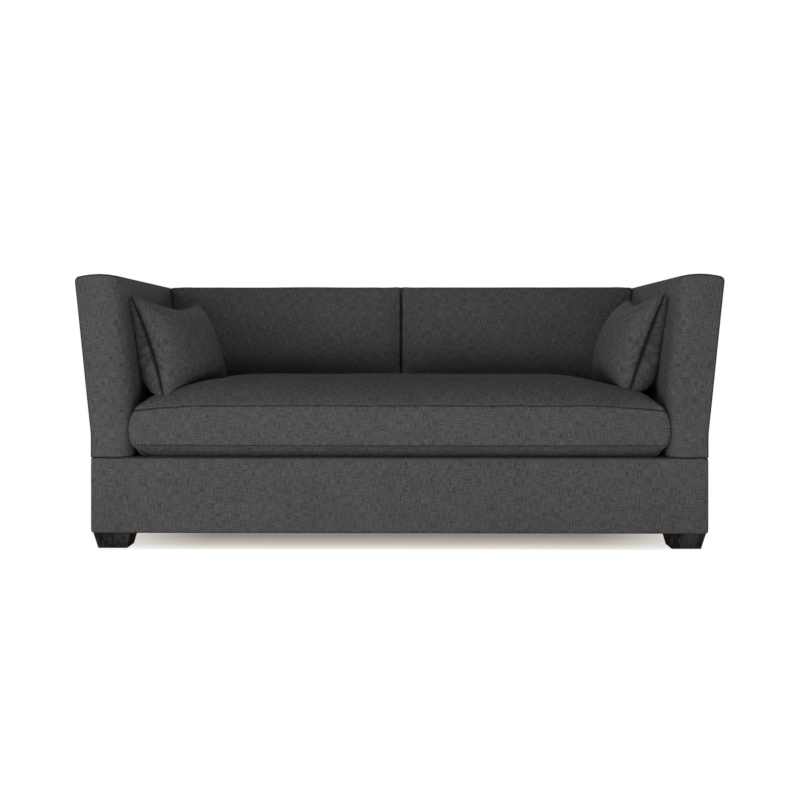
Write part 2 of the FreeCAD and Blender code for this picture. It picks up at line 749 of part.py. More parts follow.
def pillow_form(grow, side):
    """Knife-edged throw pillow that leans on an arm, flattened where it rests."""
    turn, before_back, inside = PILLOW_PLACES[side]
    half_width = PILLOW_WIDTH / 2
    half_height = PILLOW_HEIGHT / 2
    corners = [Vector(half_width, -half_height, 0), Vector(half_width, half_height, 0),
               Vector(-half_width, half_height, 0), Vector(-half_width, -half_height, 0)]
    deep = PILLOW_FRONT + PILLOW_BACK
    form = prism(soft_outline(corners, PILLOW_EDGE - grow, PILLOW_CORNER), Vector(0, 0, 2 * deep))
    form.translate(Vector(0, 0, -deep))
    form = form.common(swept_profile(lens_profile(along_x, PILLOW_WIDTH, grow), along_x, PILLOW_WIDTH))
    form = form.common(swept_profile(lens_profile(along_y, PILLOW_HEIGHT, grow), along_y, PILLOW_WIDTH))
    lean = Rotation(Vector(0, 0, 1), turn - 90).multiply(Rotation(Vector(1, 0, 0), 90 - PILLOW_LEAN))
    z = SEAM + PILLOW_ABOVE_DECK
    centre = Vector(arm_inner_x(z) - inside, back_face_y(SEAM) - before_back, z)
    form.Placement = Placement(centre, lean).multiply(form.Placement)
    arm = arm_prism(FRONT, REAR, SEAM, grow - REST_CLEARANCE)
    return form.cut([arm, seat_form(REST_CLEARANCE - grow)]).Solids[0]


# Names and shapes of all pieces

def build():
    pieces = {
        "front_rail": end_rail(-1),
        "rear_rail": end_rail(1),
        "front_spring_rail": spring_rail(-1),
        "rear_spring_rail": spring_rail(1),
        "centre_stretcher": centre_stretcher(),
        "corner_blocks": group([corner_block(x, y) for x, y in FOOT_PLACES.values()]),
        "foot_bolts": group([foot_bolt(x, y) for x, y in FOOT_PLACES.values()]),
        "foot_plates": group([foot_plate(x, y) for x, y in FOOT_PLACES.values()]),
        "back_top_rail": back_top_rail(),
        "back_lower_rail": back_lower_rail(),
        "back_uprights": back_uprights(),
        "back_webbing": back_webbing(),
        "seat_springs": seat_springs(),
        "spring_clips": spring_clips(),
        "tie_wires": tie_wires(),
        "seat_deck": seat_deck(),
        "dust_cover": dust_cover(),
        "base_front_panel": end_panel(-1),
        "base_rear_panel": end_panel(1),
        "inside_back_panel": inside_back(),
        "outside_back_panel": outside_back(),
    }
    for place, (x, y) in FOOT_PLACES.items():
        pieces[f"foot_{place}"] = foot(x, y)
    for name, side in SIDES:
        pieces[f"side_rail_{name}"] = mirrored(side_rail(), side)
        pieces[f"base_side_panel_{name}"] = mirrored(side_panel(), side)
        pieces[f"arm_front_post_{name}"] = mirrored(arm_post(FRAME_FRONT), side)
        pieces[f"arm_rear_post_{name}"] = mirrored(arm_post(FRAME_REAR - BOARD), side)
        pieces[f"arm_top_rail_{name}"] = mirrored(arm_top_rail(), side)
        pieces[f"arm_lower_rail_{name}"] = mirrored(arm_lower_rail(), side)
        pieces[f"arm_cover_{name}"] = mirrored(arm_cover(), side)
        cover, core = covered(back_form)
        pieces[f"back_cushion_{name}"] = mirrored(cover, side)
        pieces[f"back_cushion_core_{name}"] = mirrored(core, side)
        cover, core = covered(lambda grow: pillow_form(grow, name))
        pieces[f"throw_pillow_{name}"] = mirrored(cover, side)
        pieces[f"throw_pillow_filling_{name}"] = mirrored(core, side)
    pieces["seat_cushion"], pieces["seat_cushion_core"] = covered(seat_form)
    return pieces


def main():
    os.makedirs("parts", exist_ok=True)
    for name, shape in build().items():
        save(name, shape)


main()
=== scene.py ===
"""Upholstered two-seat sofa: padded covers, cushions, pillows, feet and frame, dressed for a studio view.

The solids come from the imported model. Every soft cover is sewn here from panels of cloth, and each
operator below makes one group of pieces. Lengths are in metres: X to the right, Y to the back, Z up.
"""
import math
from functools import partialmethod

import bmesh
import bpy
import numpy as np
from mathutils import Matrix, Vector


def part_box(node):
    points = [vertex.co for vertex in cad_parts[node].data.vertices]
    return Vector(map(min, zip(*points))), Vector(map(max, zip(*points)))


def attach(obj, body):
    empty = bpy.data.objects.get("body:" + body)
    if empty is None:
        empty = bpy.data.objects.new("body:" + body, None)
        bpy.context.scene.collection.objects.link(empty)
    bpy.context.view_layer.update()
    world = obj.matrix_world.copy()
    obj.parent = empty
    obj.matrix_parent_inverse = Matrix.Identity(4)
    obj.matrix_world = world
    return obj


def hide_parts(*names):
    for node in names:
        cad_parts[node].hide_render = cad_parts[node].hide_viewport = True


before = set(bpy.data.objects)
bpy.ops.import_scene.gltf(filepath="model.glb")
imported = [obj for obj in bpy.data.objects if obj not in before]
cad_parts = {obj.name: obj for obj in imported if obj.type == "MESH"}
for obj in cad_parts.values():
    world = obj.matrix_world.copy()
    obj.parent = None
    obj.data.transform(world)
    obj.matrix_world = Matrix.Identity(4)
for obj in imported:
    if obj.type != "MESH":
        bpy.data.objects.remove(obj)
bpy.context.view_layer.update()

bl_info = {
    "name": "Loveseat",
    "version": (1, 0, 0),
    "blender": (4, 5, 0),
    "location": "View3D > Sidebar > Loveseat",
    "description": "Sews the covers, cushions and pillows of a two-seat sofa on its frame",
    "category": "Add Mesh",
}

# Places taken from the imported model
BASE_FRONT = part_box("base_front_panel")
BASE_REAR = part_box("base_rear_panel")
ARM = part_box("arm_cover_right")
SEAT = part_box("seat_cushion")
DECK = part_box("seat_deck")
FRONT = BASE_FRONT[0].y
REAR = BASE_REAR[1].y
HALF_BASE = BASE_FRONT[1].x
BASE_BOTTOM = BASE_FRONT[0].z
SEAM = BASE_FRONT[1].z
PADDING = BASE_FRONT[1].y - BASE_FRONT[0].y
ARM_INNER = ARM[0].x
ARM_TOP = ARM[1].z
BACK_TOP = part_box("inside_back_panel")[1].z
SIDES = (("left", -1), ("right", 1))

# The cover cloth's material, and how far a panel's edge counts as away from its seam
CLOTH_NAME = "charcoal_weave"
SEAM_GAP = 0.0004


def factor(name, text, default, **more):
    return bpy.props.FloatProperty(name=name, description=text, default=default, **more)


def length(name, text, metres):
    return factor(name, text, metres, unit="LENGTH", precision=4)


def angle(name, text, degrees):
    return factor(name, text, math.radians(degrees), subtype="ANGLE")


def power(name, text, watts):
    return factor(name, f"Power of {text} in watts", watts, min=0.0)


def colour(name, text, shade):
    return bpy.props.FloatVectorProperty(name=name, description=text, default=(*shade, 1.0), size=4, min=0.0,
                                         max=1.0, subtype="COLOR_GAMMA")


class LoveseatShape(bpy.types.PropertyGroup):
    """Sizes of the arms, the back and the soft edges."""

    arm_flare: length("Arm flare", "How far the arm's outer shoulder stands outside the base", 0.0485)
    arm_top: length("Arm top width", "Width of the crowned arm top", 0.124)
    outer_bend: length("Outer bend", "Height above the seam where the outer face starts to lean", 0.066)
    inner_bend: length("Inner bend", "Height above the seam where the inner face starts to lean", 0.210)
    crown_radius: length("Arm crown radius", "Radius of the crowned arm top", 0.245)
    crown_inset: length("Arm crown inset", "Distance of the crown's highest line from the shoulder", 0.072)
    shoulder: length("Arm shoulder radius", "Rounding between the arm's faces and its top", 0.015)
    wrap: length("Arm front wrap", "Radius at which the arm's front turns to its inner face", 0.040)
    roll: length("Seam roll", "Radius of a padded edge beside a seam", 0.0055)
    back_depth: length("Back top depth", "Depth of the upholstered back at its top", 0.100)
    back_crown: length("Back crown", "How far the padding stands over the back's timber height", 0.0040)
    back_round: length("Back top rounding", "Rounding of the back's top front edge", 0.024)
    back_lean: angle("Back lean", "Lean of the inside back", 6.1)
    front_roll: length("Front roll", "Height over which the base rolls in under the seat cushion", 0.032)
    base_edge: length("Base edge", "Rounding of the base's corners and lower edge", 0.009)


class LoveseatCloth(bpy.types.PropertyGroup):
    """Colours and weave of the cover cloth."""

    warm: colour("Warm ground", "Main colour of the cloth where it is warmer", (0.325, 0.292, 0.270))
    cool: colour("Cool ground", "Main colour of the cloth where it is cooler", (0.268, 0.286, 0.312))
    dark: colour("Dark yarn", "Colour of the darker yarns", (0.194, 0.189, 0.191))
    light: colour("Light yarn", "Colour of the lighter slub yarns", (0.440, 0.429, 0.432))
    # The seam line's colour stands partly for the seam's own dark joint and partly for painted shade deep in
    # the seam
    stitch: colour("Seam line", "Colour deep in a seam", (0.085, 0.080, 0.082))
    thread: length("Thread pitch", "Distance between neighbouring threads", 0.0016)
    slub_width: length("Slub width", "Width of a slub yarn", 0.0023)
    slub_length: length("Slub length", "Length of a slub yarn", 0.024)
    seam_width: length("Seam width", "Width of the dark line of a seam", 0.0016)


class LoveseatStage(bpy.types.PropertyGroup):
    """Camera and lamps of the studio."""

    eye_distance: length("Eye distance", "Distance of the camera in front of the middle of the sofa", 3.766)
    eye_height: length("Eye height", "Height of the camera", 0.578)
    eye_side: length("Eye side", "Sideways place of the camera", 0.036)
    eye_turn: angle("Eye turn", "Turn of the camera to the left", 0.57)
    lens: factor("Lens", "Focal length in millimetres on a 36 mm sensor", 52.74)
    rise: factor("Lens shift", "Vertical shift of the lens", -0.0703)
    front: power("Front lamp", "the large lamp over the camera", 21.0)
    left: power("Left lamp", "the lamp on the left", 33.0)
    floor: power("Floor glow", "the light that comes up from the bright floor", 98.0)
    near: power("Near glow", "the light from the floor close to the base", 4.8)
    rear: power("Rear lamp", "the lamp behind the sofa", 75.0)
    side: power("Side lamps", "each lamp beside the sofa", 32.0)
    low: power("Low glow", "the low light from the floor further off", 15.0)
    top: power("Top lamp", "the lamp overhead", 21.0)
    shadow: length("Shadow depth", "Distance inside the outline at which the floor's shadow is full", 0.24)
    fill: factor("Sky light", "Strength of the even light all round", 0.03)


# Materials

class Value:
    """A number socket that takes part in Python sums by adding Math nodes."""

    def __init__(self, nodes, socket):
        self.nodes = nodes
        self.socket = socket

    def maths(self, operation, *others):
        """What the operation makes of this value and the others."""
        return math_node(self.nodes, operation, self, *others)

    def maths_after(self, operation, other):
        """The same with the other value in front of this one."""
        return math_node(self.nodes, operation, other, self)

    __add__ = partialmethod(maths, "ADD")
    __radd__ = partialmethod(maths_after, "ADD")
    __sub__ = partialmethod(maths, "SUBTRACT")
    __rsub__ = partialmethod(maths_after, "SUBTRACT")
    __mul__ = partialmethod(maths, "MULTIPLY")
    __rmul__ = partialmethod(maths_after, "MULTIPLY")
    __truediv__ = partialmethod(maths, "DIVIDE")
    __abs__ = partialmethod(maths, "ABSOLUTE")
    floor = partialmethod(maths, "FLOOR")
    sine = partialmethod(maths, "SINE")
    modulo = partialmethod(maths, "FLOORED_MODULO")
    power = partialmethod(maths, "POWER")

    def clipped(self):
        """The value held between 0 and 1."""
        return self.maths("MAXIMUM", 0.0).maths("MINIMUM", 1.0)

    def ramp(self, low, high):
        """0 below the low value, 1 above the high one, and smooth between."""
        node = self.nodes.node("ShaderNodeMapRange", {"interpolation_type": "SMOOTHSTEP"},
                               {"Value": self, "From Min": low, "From Max": high})
        return Value(self.nodes, node.outputs["Result"])

    def band(self, width):
        """1 where the value is 0, falling smoothly to 0 at the width on both sides."""
        return 1.0 - abs(self).ramp(0.0, width)


def math_node(nodes, operation, *numbers):
    """A Math node on numbers or values."""
    made = nodes.node("ShaderNodeMath", {"operation": operation}, dict(enumerate(numbers)))
    return Value(nodes, made.outputs[0])


class Nodes:
    """The nodes of a material or world while they are being put together."""

    def __init__(self, owner):
        owner.use_nodes = True
        self.tree = owner.node_tree

    def put(self, socket, value):
        """Sets a socket to a number or colour, or links it."""
        if isinstance(value, Value):
            value = value.socket
        if isinstance(value, bpy.types.NodeSocket):
            self.tree.links.new(value, socket)
        elif isinstance(value, (list, tuple)) and len(value) == 3 and socket.type == "RGBA":
            socket.default_value = (*value, 1.0)
        else:
            socket.default_value = value

    def node(self, kind, settings=None, sockets=None):
        """Any node: its settings first, then the values or links of its sockets."""
        made = self.tree.nodes.new(kind)
        for name, value in (settings or {}).items():
            setattr(made, name, value)
        for key, value in (sockets or {}).items():
            self.put(made.inputs[key], value)
        return made

    def blend(self, share, first, second):
        """One shader that turns into another with the share, on the way to the output."""
        both = self.node("ShaderNodeMixShader", {}, {0: share, 1: first, 2: second})
        output = next(node for node in self.tree.nodes if node.bl_idname.startswith("ShaderNodeOutput"))
        self.tree.links.new(both.outputs[0], output.inputs["Surface"])


class Finish(Nodes):
    """A material while it is being put together."""

    def __init__(self, name):
        self.material = bpy.data.materials.new(name)
        super().__init__(self.material)
        self.shader = self.tree.nodes["Principled BSDF"]

    def surface(self, **values):
        """Values on the shader's own sockets, with spaces written as underscores."""
        for name, value in values.items():
            self.put(self.shader.inputs[name.replace("_", " ")], value)

    def mix(self, mask, low, high):
        """Colour that goes from low to high with the mask."""
        node = self.node("ShaderNodeMix", {"data_type": "RGBA"}, {0: mask, 6: low, 7: high})
        return node.outputs[2]

    def parts(self, point):
        """The three numbers of a point."""
        split = self.node("ShaderNodeSeparateXYZ", {}, {0: point})
        return tuple(Value(self, socket) for socket in split.outputs)

    def threads(self):
        """Place on the cloth, in metres along the weft and along the warp."""
        return self.parts(self.node("ShaderNodeUVMap", {"uv_map": "threads"}).outputs[0])[:2]

    def place(self):
        """Place in the sofa's own frame, in metres."""
        return self.parts(self.node("ShaderNodeTexCoord").outputs["Object"])

    def attribute(self, name):
        return Value(self, self.node("ShaderNodeAttribute", {"attribute_name": name}).outputs["Fac"])

    def noise(self, parts, detail=2.0, roughness=0.5):
        """Noise over a point that is given by its two or three parts."""
        joined = self.node("ShaderNodeCombineXYZ", {}, dict(enumerate(parts)))
        sockets = {"Vector": joined.outputs[0], "Scale": 1.0, "Detail": detail, "Roughness": roughness}
        return Value(self, self.node("ShaderNodeTexNoise", {}, sockets).outputs["Fac"])

    def bump(self, height, distance, strength=1.0, below=None):
        sockets = {"Height": height, "Distance": distance, "Strength": strength}
        if below is not None:
            sockets["Normal"] = below
        return self.node("ShaderNodeBump", {}, sockets).outputs["Normal"]


def linear(colour):
    """Linear numbers of a colour that is given as it shows on a screen."""
    parts = tuple(colour)[:3]
    return tuple(part / 12.92 if part <= 0.04045 else ((part + 0.055) / 1.055) ** 2.4 for part in parts)


def slub_weave(finish, cloth, weft, warp):
    """Colour of a plain weave of slub yarns, darkened in the gaps between threads as painted shade, its
    relief, and how thick its yarns are.
    """
    pitch = cloth.thread
    across, along = 1.0 / cloth.slub_width, 1.0 / cloth.slub_length
    weft_slubs = finish.noise((weft * along, warp * across), 2.5, 0.6)
    warp_slubs = finish.noise((weft * across + 31.7, warp * along), 2.5, 0.6)
    mottle = finish.noise((weft * 7.0, warp * 7.0), 3.0, 0.55)
    grain = finish.noise((weft * 1.3 * across, warp * 1.3 * across), 2.0, 0.7)
    over = ((weft / pitch).floor() + (warp / pitch).floor()).modulo(2.0)
    weft_round = abs((warp * (math.pi / pitch)).sine())
    warp_round = abs((weft * (math.pi / pitch)).sine())
    relief = over * weft_round + (1.0 - over) * warp_round
    slubs = (over - 0.5) * 0.4 * (weft_slubs - warp_slubs) + 0.46 * weft_slubs + 0.54 * warp_slubs
    tone = (0.72 * slubs + 0.22 * grain + 0.06 * mottle).ramp(0.37, 0.63)
    yarn = finish.mix(tone, linear(cloth.dark), linear(cloth.light))
    cast = finish.noise((weft * 90.0, warp * 90.0), 2.0, 0.6).ramp(0.35, 0.65)
    ground = finish.mix(cast, linear(cloth.warm), linear(cloth.cool))
    yarn = finish.mix(0.30, yarn, ground)
    flecks = weft_slubs.ramp(0.62, 0.74) + warp_slubs.ramp(0.62, 0.74)
    yarn = finish.mix(0.30 * flecks, yarn, linear(cloth.light))
    # Painted shade: the colour darkens towards the dark yarn where the relief is low, in the gaps between
    # threads
    return finish.mix((1.0 - relief) * 0.30, yarn, linear(cloth.dark)), relief, slubs


def woven_finish(name, cloth):
    """The cover cloth, with puckers and dark lines where the mesh carries a seam: each line is partly the
    seam's own dark joint and partly painted shade in its groove.
    """
    finish = Finish(name)
    weft, warp = finish.threads()
    shaded, relief, slubs = slub_weave(finish, cloth, weft, warp)
    seam = finish.attribute("seam")
    # Dark seam line: partly the seam's own dark joint, partly painted shade in its groove; the soft band
    # beside it is painted shade
    line = seam.band(cloth.seam_width)
    soft = seam.band(cloth.seam_width * 3.5)
    colour_with_seam_shade = finish.mix(0.85 * line + 0.10 * soft, shaded, linear(cloth.stitch))
    puckers = finish.noise((weft * 55.0, warp * 55.0), 2.0, 0.5) * seam.band(0.022)
    groove = finish.bump(puckers - 1.6 * seam.band(cloth.seam_width * 2.2), 0.0011)
    weave = finish.bump(0.55 * relief + 0.12 * slubs, 0.0006, 0.7, groove)
    finish.surface(Base_Color=colour_with_seam_shade, Roughness=0.90 + 0.1 * relief, Specular_IOR_Level=0.04, Normal=weave)
    return finish.material


# Sewing: panels of cloth become one mesh

WELD = 2e-5


def new_object(name, data):
    """An object in the scene."""
    obj = bpy.data.objects.new(name, data)
    bpy.context.scene.collection.objects.link(obj)
    return obj


def welded_faces(quads, welded):
    """Faces between welded points, without sides of no length, and the panel point at each corner."""
    faces, corners = [], []
    for quad in quads:
        kept = [corner for n, corner in enumerate(quad) if welded[corner] != welded[quad[n - 1]]]
        if len(kept) > 2:
            faces.append([int(welded[corner]) for corner in kept])
            corners.extend(kept)
    return faces, corners


class Cover:
    """Panels of cloth, each a grid of points, that are welded where their edges meet."""

    def __init__(self, name):
        self.name = name
        self.points = []
        self.threads = []
        self.seams = []
        self.quads = []
        self.count = 0

    def panel(self, points, threads=None, seam=1.0, keep=None):
        """Adds a grid of points. Threads are its places on the flat cloth, seam the distance to a seam.

        Keep says which of its faces are made."""
        points = np.asarray(points, dtype=float)
        rows, columns = points.shape[:2]
        if threads is None:
            threads = flat_cloth(points)
        numbers = np.arange(rows * columns).reshape(rows, columns) + self.count
        corners = (numbers[:-1, :-1], numbers[1:, :-1], numbers[1:, 1:], numbers[:-1, 1:])
        quads = np.stack(corners, axis=-1).reshape(-1, 4)
        self.quads.append(quads if keep is None else quads[np.asarray(keep).reshape(-1)])
        self.points.append(points.reshape(-1, 3))
        self.threads.append(np.asarray(threads, dtype=float).reshape(-1, 2))
        self.seams.append(np.broadcast_to(seam, (rows, columns)).reshape(-1))
        self.count += rows * columns

    def sewn(self):
        """The welded mesh object, with smooth faces that look outward."""
        points = np.concatenate(self.points)
        seams = np.concatenate(self.seams)
        keys = np.round(points / WELD).astype(np.int64)
        _, first, welded = np.unique(keys, axis=0, return_index=True, return_inverse=True)
        welded = welded.reshape(-1)
        faces, corners = welded_faces(np.concatenate(self.quads), welded)
        mesh = bpy.data.meshes.new(self.name)
        mesh.from_pydata(points[first].tolist(), [], faces)
        threads = np.concatenate(self.threads)[corners].astype(np.float32)
        mesh.uv_layers.new(name="threads").data.foreach_set("uv", threads.ravel())
        nearest = np.full(len(first), 1.0)
        order = np.argsort(-np.abs(seams))
        nearest[welded[order]] = seams[order]
        mesh.attributes.new("seam", "FLOAT", "POINT").data.foreach_set("value", nearest.astype(np.float32))
        mesh.polygons.foreach_set("use_smooth", [True] * len(mesh.polygons))
        face_outward(mesh)
        return new_object(self.name, mesh)


def face_outward(mesh):
    work = bmesh.new()
    work.from_mesh(mesh)
    bmesh.ops.recalc_face_normals(work, faces=work.faces)
    work.to_mesh(mesh)
    work.free()


def lengths_along(line):
    """Length of a line of points up to each one of them."""
    return np.concatenate([[0.0], np.cumsum(np.linalg.norm(np.diff(line, axis=0), axis=-1))])


def unit(vectors):
    """The same directions with a length of one."""
    return vectors / np.linalg.norm(vectors, axis=-1, keepdims=True)


def flat_cloth(points):
    """Places on the flat cloth: lengths along the rows and along the columns of a grid."""
    down = np.linalg.norm(np.diff(points, axis=0), axis=-1).mean(axis=1)
    along = np.linalg.norm(np.diff(points, axis=1), axis=-1).mean(axis=0)
    v = np.concatenate([[0.0], np.cumsum(down)])
    u = np.concatenate([[0.0], np.cumsum(along)])
    return np.stack(np.meshgrid(u, v), axis=-1)


def smooth_step(value, low, high):
    part = np.clip((value - low) / (high - low), 0.0, 1.0)
    return part * part * (3.0 - 2.0 * part)


def near_seam(first, second):
    """Of two distances to a seam, the one that is nearer."""
    return np.where(np.abs(first) < np.abs(second), first, second)


def waves(points, size, seed):
    """Slow, smooth unevenness between -1 and 1, from a few crossing waves."""
    chance = np.random.default_rng(seed)
    total = np.zeros(points.shape[:-1])
    for _ in range(7):
        direction = chance.normal(size=3)
        direction /= np.linalg.norm(direction)
        step = chance.uniform(0.7, 1.5) * 2.0 * math.pi / size
        total += np.sin(points @ direction * step + chance.uniform(0.0, 2.0 * math.pi))
    return total / 4.0


def padding(points, away, edge, fullness, unevenness, size, seed):
    """How far padded cloth stands out at a distance from its edge: full, and a little uneven."""
    height, spread = fullness
    depth, reach = unevenness
    return (height * smooth_step(away, edge, spread)
            + depth * waves(points, size, seed) * smooth_step(away, edge, reach))


def tucked(distance, radius):
    """How far a padded edge is drawn in at a distance from its border."""
    near = np.clip(radius - distance, 0.0, radius)
    return radius - np.sqrt(radius ** 2 - near ** 2)


def shape_settings():
    return bpy.context.scene.loveseat_shape


def material(name, make, *more):
    """The material of that name, made the first time it is asked for."""
    return bpy.data.materials.get(name) or make(name, *more)


def cover_cloth():
    return material(CLOTH_NAME, woven_finish, bpy.context.scene.loveseat_cloth)


def finer(obj):
    """Applies one level of a subdivision surface."""
    subdivide = obj.modifiers.new("subdivide", "SUBSURF")
    subdivide.levels = subdivide.render_levels = 1
    bpy.context.view_layer.update()
    depsgraph = bpy.context.evaluated_depsgraph_get()
    obj.data = bpy.data.meshes.new_from_object(obj.evaluated_get(depsgraph), preserve_all_data_layers=True,
                                               depsgraph=depsgraph)
    obj.modifiers.clear()


def dress(obj, finish, body, nodes):
    """Gives a piece its material and body, and lets it stand for its CAD nodes."""
    obj.data.materials.clear()
    obj.data.materials.append(finish)
    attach(obj, body)
    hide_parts(*nodes)


def upholster(cover, node):
    """Sews a padded cover that is fixed to the frame."""
    obj = cover.sewn()
    finer(obj)
    dress(obj, cover_cloth(), "sofa", [node])


# Rolled seams and the arm's outline

SHOULDER_STEPS = 8
WRAP_STEPS = 8
OUTER_SOFTNESS = 0.012
INNER_SOFTNESS = 0.030


def roll_strip(corner, into_a, into_b, radius, steps=4):
    """Rounded edge between two panels: rows run from the first panel to the second."""
    rows, seams = [], []
    for n in range(steps + 1):
        turn = math.pi / 2 * n / steps
        rows.append(corner + into_a * radius * (1 - math.sin(turn)) + into_b * radius * (1 - math.cos(turn)))
        seams.append(radius * math.pi / 2 * (n / steps - 0.36))
    return np.array(rows), np.array(seams)[:, None]


def crown_height(x, shape):
    """Height of the arm's crowned top at a distance from the middle of the sofa."""
    line = HALF_BASE + shape.arm_flare - shape.crown_inset
    return ARM_TOP - shape.crown_radius + np.sqrt(shape.crown_radius ** 2 - (x - line) ** 2)


def leant(z, low, lean, bend):
    """How far a face has leant out at a height: nothing below the low line, with a soft bend there."""
    above = np.asarray(z) - low
    in_bend = (np.maximum(above, -bend) + bend) ** 2 / (4 * bend)
    return lean * np.where(above > bend, above, in_bend)


def outer_x(z, shape):
    """The arm's outer face: upright above the seam, then leaning out."""
    low = SEAM + shape.outer_bend
    high = float(crown_height(HALF_BASE + shape.arm_flare, shape))
    return HALF_BASE + leant(z, low, shape.arm_flare / (high - low), OUTER_SOFTNESS)


def inner_x(z, shape):
    """The arm's inner face: upright, then leaning out towards the top."""
    low = SEAM + shape.inner_bend
    inner_top = HALF_BASE + shape.arm_flare - shape.arm_top
    high = float(crown_height(inner_top, shape))
    return ARM_INNER + leant(z, low, (inner_top - ARM_INNER) / (high - low), INNER_SOFTNESS)


# Body covers: arms, back and base

ROW_STEP = 0.012
ROLL_ROWS = np.array([0.0, 0.12, 0.35, 0.7, 1.0, 1.3])


def arc_share(points):
    """How far along a line of points each one lies, from 0 to 1."""
    lengths = lengths_along(points)
    return lengths / lengths[-1]


def fill_between(left, right, bottom, top):
    """Grid that spans four edges: left and right run up, bottom and top run from left to right."""
    across = (arc_share(bottom) + arc_share(top))[None, :, None] / 2
    up = (arc_share(left) + arc_share(right))[:, None, None] / 2
    sides = (1 - across) * left[:, None] + across * right[:, None]
    ends = (1 - up) * bottom[None] + up * top[None]
    corners = ((1 - across) * (1 - up) * bottom[0] + across * (1 - up) * bottom[-1]
               + (1 - across) * up * top[0] + across * up * top[-1])
    return sides + ends - corners


def seam_heights(low, high, radius):
    """Heights of rows that start close together beside a seam."""
    even = np.linspace(low + radius * ROLL_ROWS[5], high, int((high - low) / ROW_STEP))
    return np.concatenate([low + radius * ROLL_ROWS[:4], even])


class ArmOutline:
    """The right arm's seam path: up the outer front edge, over the crown and back along the inner edge."""

    def __init__(self, shape):
        self.shape = shape
        self.rear = REAR - PADDING
        self.shoulder_x = HALF_BASE + shape.arm_flare
        self.inner_top_x = self.shoulder_x - shape.arm_top
        low = float(crown_height(self.shoulder_x, shape))
        self.lean_out = (self.shoulder_x - HALF_BASE) / (low - SEAM - shape.outer_bend)
        self.outer, self.outer_in, self.top, self.top_in = self.front_edges()

    def shoulder(self):
        """The rounded outer shoulder from the face to the crown, with its inward directions."""
        radius = self.shape.shoulder
        face = Vector((self.lean_out, 1.0)).normalized()
        crown_x = self.shoulder_x - radius
        crown_normal = Vector((-self.crown_slope(crown_x), 1.0)).normalized()
        centre = Vector((crown_x, float(crown_height(crown_x, self.shape)))) - crown_normal * radius
        turns = np.linspace(math.atan2(-face.x, face.y), math.atan2(crown_normal.y, crown_normal.x),
                            SHOULDER_STEPS + 1)
        inward = -np.stack([np.cos(turns), np.sin(turns)], axis=1)
        return np.array(centre) - radius * inward, inward

    def front_edges(self):
        """The outline in the front plane, split in the middle of the rounded outer shoulder."""
        shape = self.shape
        arc, arc_in = self.shoulder()
        bend = SEAM + shape.outer_bend
        heights = seam_heights(SEAM, arc[0, 1] - 0.006, shape.roll)
        shift = arc[0, 0] - float(outer_x(arc[0, 1], shape))
        ease = smooth_step(heights, bend, arc[0, 1])
        face_line = np.stack([outer_x(heights, shape) + shift * ease, heights], axis=1)
        face_in = np.where(heights[:, None] < bend, (-1.0, 0.0), arc_in[0])
        crown_xs = np.linspace(arc[-1, 0], self.inner_top_x + shape.wrap, 12)[1:]
        crown_line = np.stack([crown_xs, crown_height(crown_xs, shape)], axis=1)
        crown_in = unit(np.stack([self.crown_slope(crown_xs), -np.ones_like(crown_xs)], axis=1))
        split = SHOULDER_STEPS // 2
        outer = np.concatenate([face_line, arc[:split + 1]])
        outer_in = np.concatenate([face_in, arc_in[:split + 1]])
        top = np.concatenate([arc[split:], crown_line])
        top_in = np.concatenate([arc_in[split:], crown_in])
        return outer, outer_in, top, top_in

    def crown_slope(self, x):
        step = 1e-4
        return (crown_height(x + step, self.shape) - crown_height(x - step, self.shape)) / (2 * step)

    def inner_slope(self):
        high = float(crown_height(self.inner_top_x, self.shape))
        return (self.inner_top_x - ARM_INNER) / (high - SEAM - self.shape.inner_bend)

    def wrap_stations(self):
        """Plan angle and place behind the front, for the columns from the wrap to the arm's rear."""
        wrap = self.shape.wrap
        angles = np.linspace(0.0, math.pi / 2, WRAP_STEPS + 1)
        behind = wrap * (1 - np.cos(angles))
        count = int((self.rear - FRONT - wrap) / (2 * ROW_STEP))
        straight = np.linspace(wrap, self.rear - FRONT, count + 1)[1:]
        close = self.rear - FRONT - self.shape.roll * np.array([1.0, 0.5, 0.15])
        straight = np.sort(np.concatenate([straight, close]))
        return (np.concatenate([angles, np.full(len(straight), math.pi / 2)]),
                np.concatenate([behind, straight]))

    def inner_edge(self):
        """Seam points with their directions into the face and into the top, from the wrap to the rear."""
        wrap = self.shape.wrap
        angles, behind = self.wrap_stations()
        x = self.inner_top_x + wrap * (1 - np.sin(angles))
        corner = np.stack([x, FRONT + behind, crown_height(x, self.shape)], axis=1)
        turned = np.sin(angles)
        into_face = np.stack([-self.inner_slope() * turned, np.zeros_like(x), -np.ones_like(x)], axis=1)
        into_top = np.stack([turned, np.cos(angles), self.crown_slope(x) * turned], axis=1)
        return corner, unit(into_face), unit(into_top)


def in_front(line, y):
    """Points of a flat outline, set in a plane across the sofa."""
    return np.stack([line[:, 0], np.full(len(line), y), line[:, 1]], axis=1)


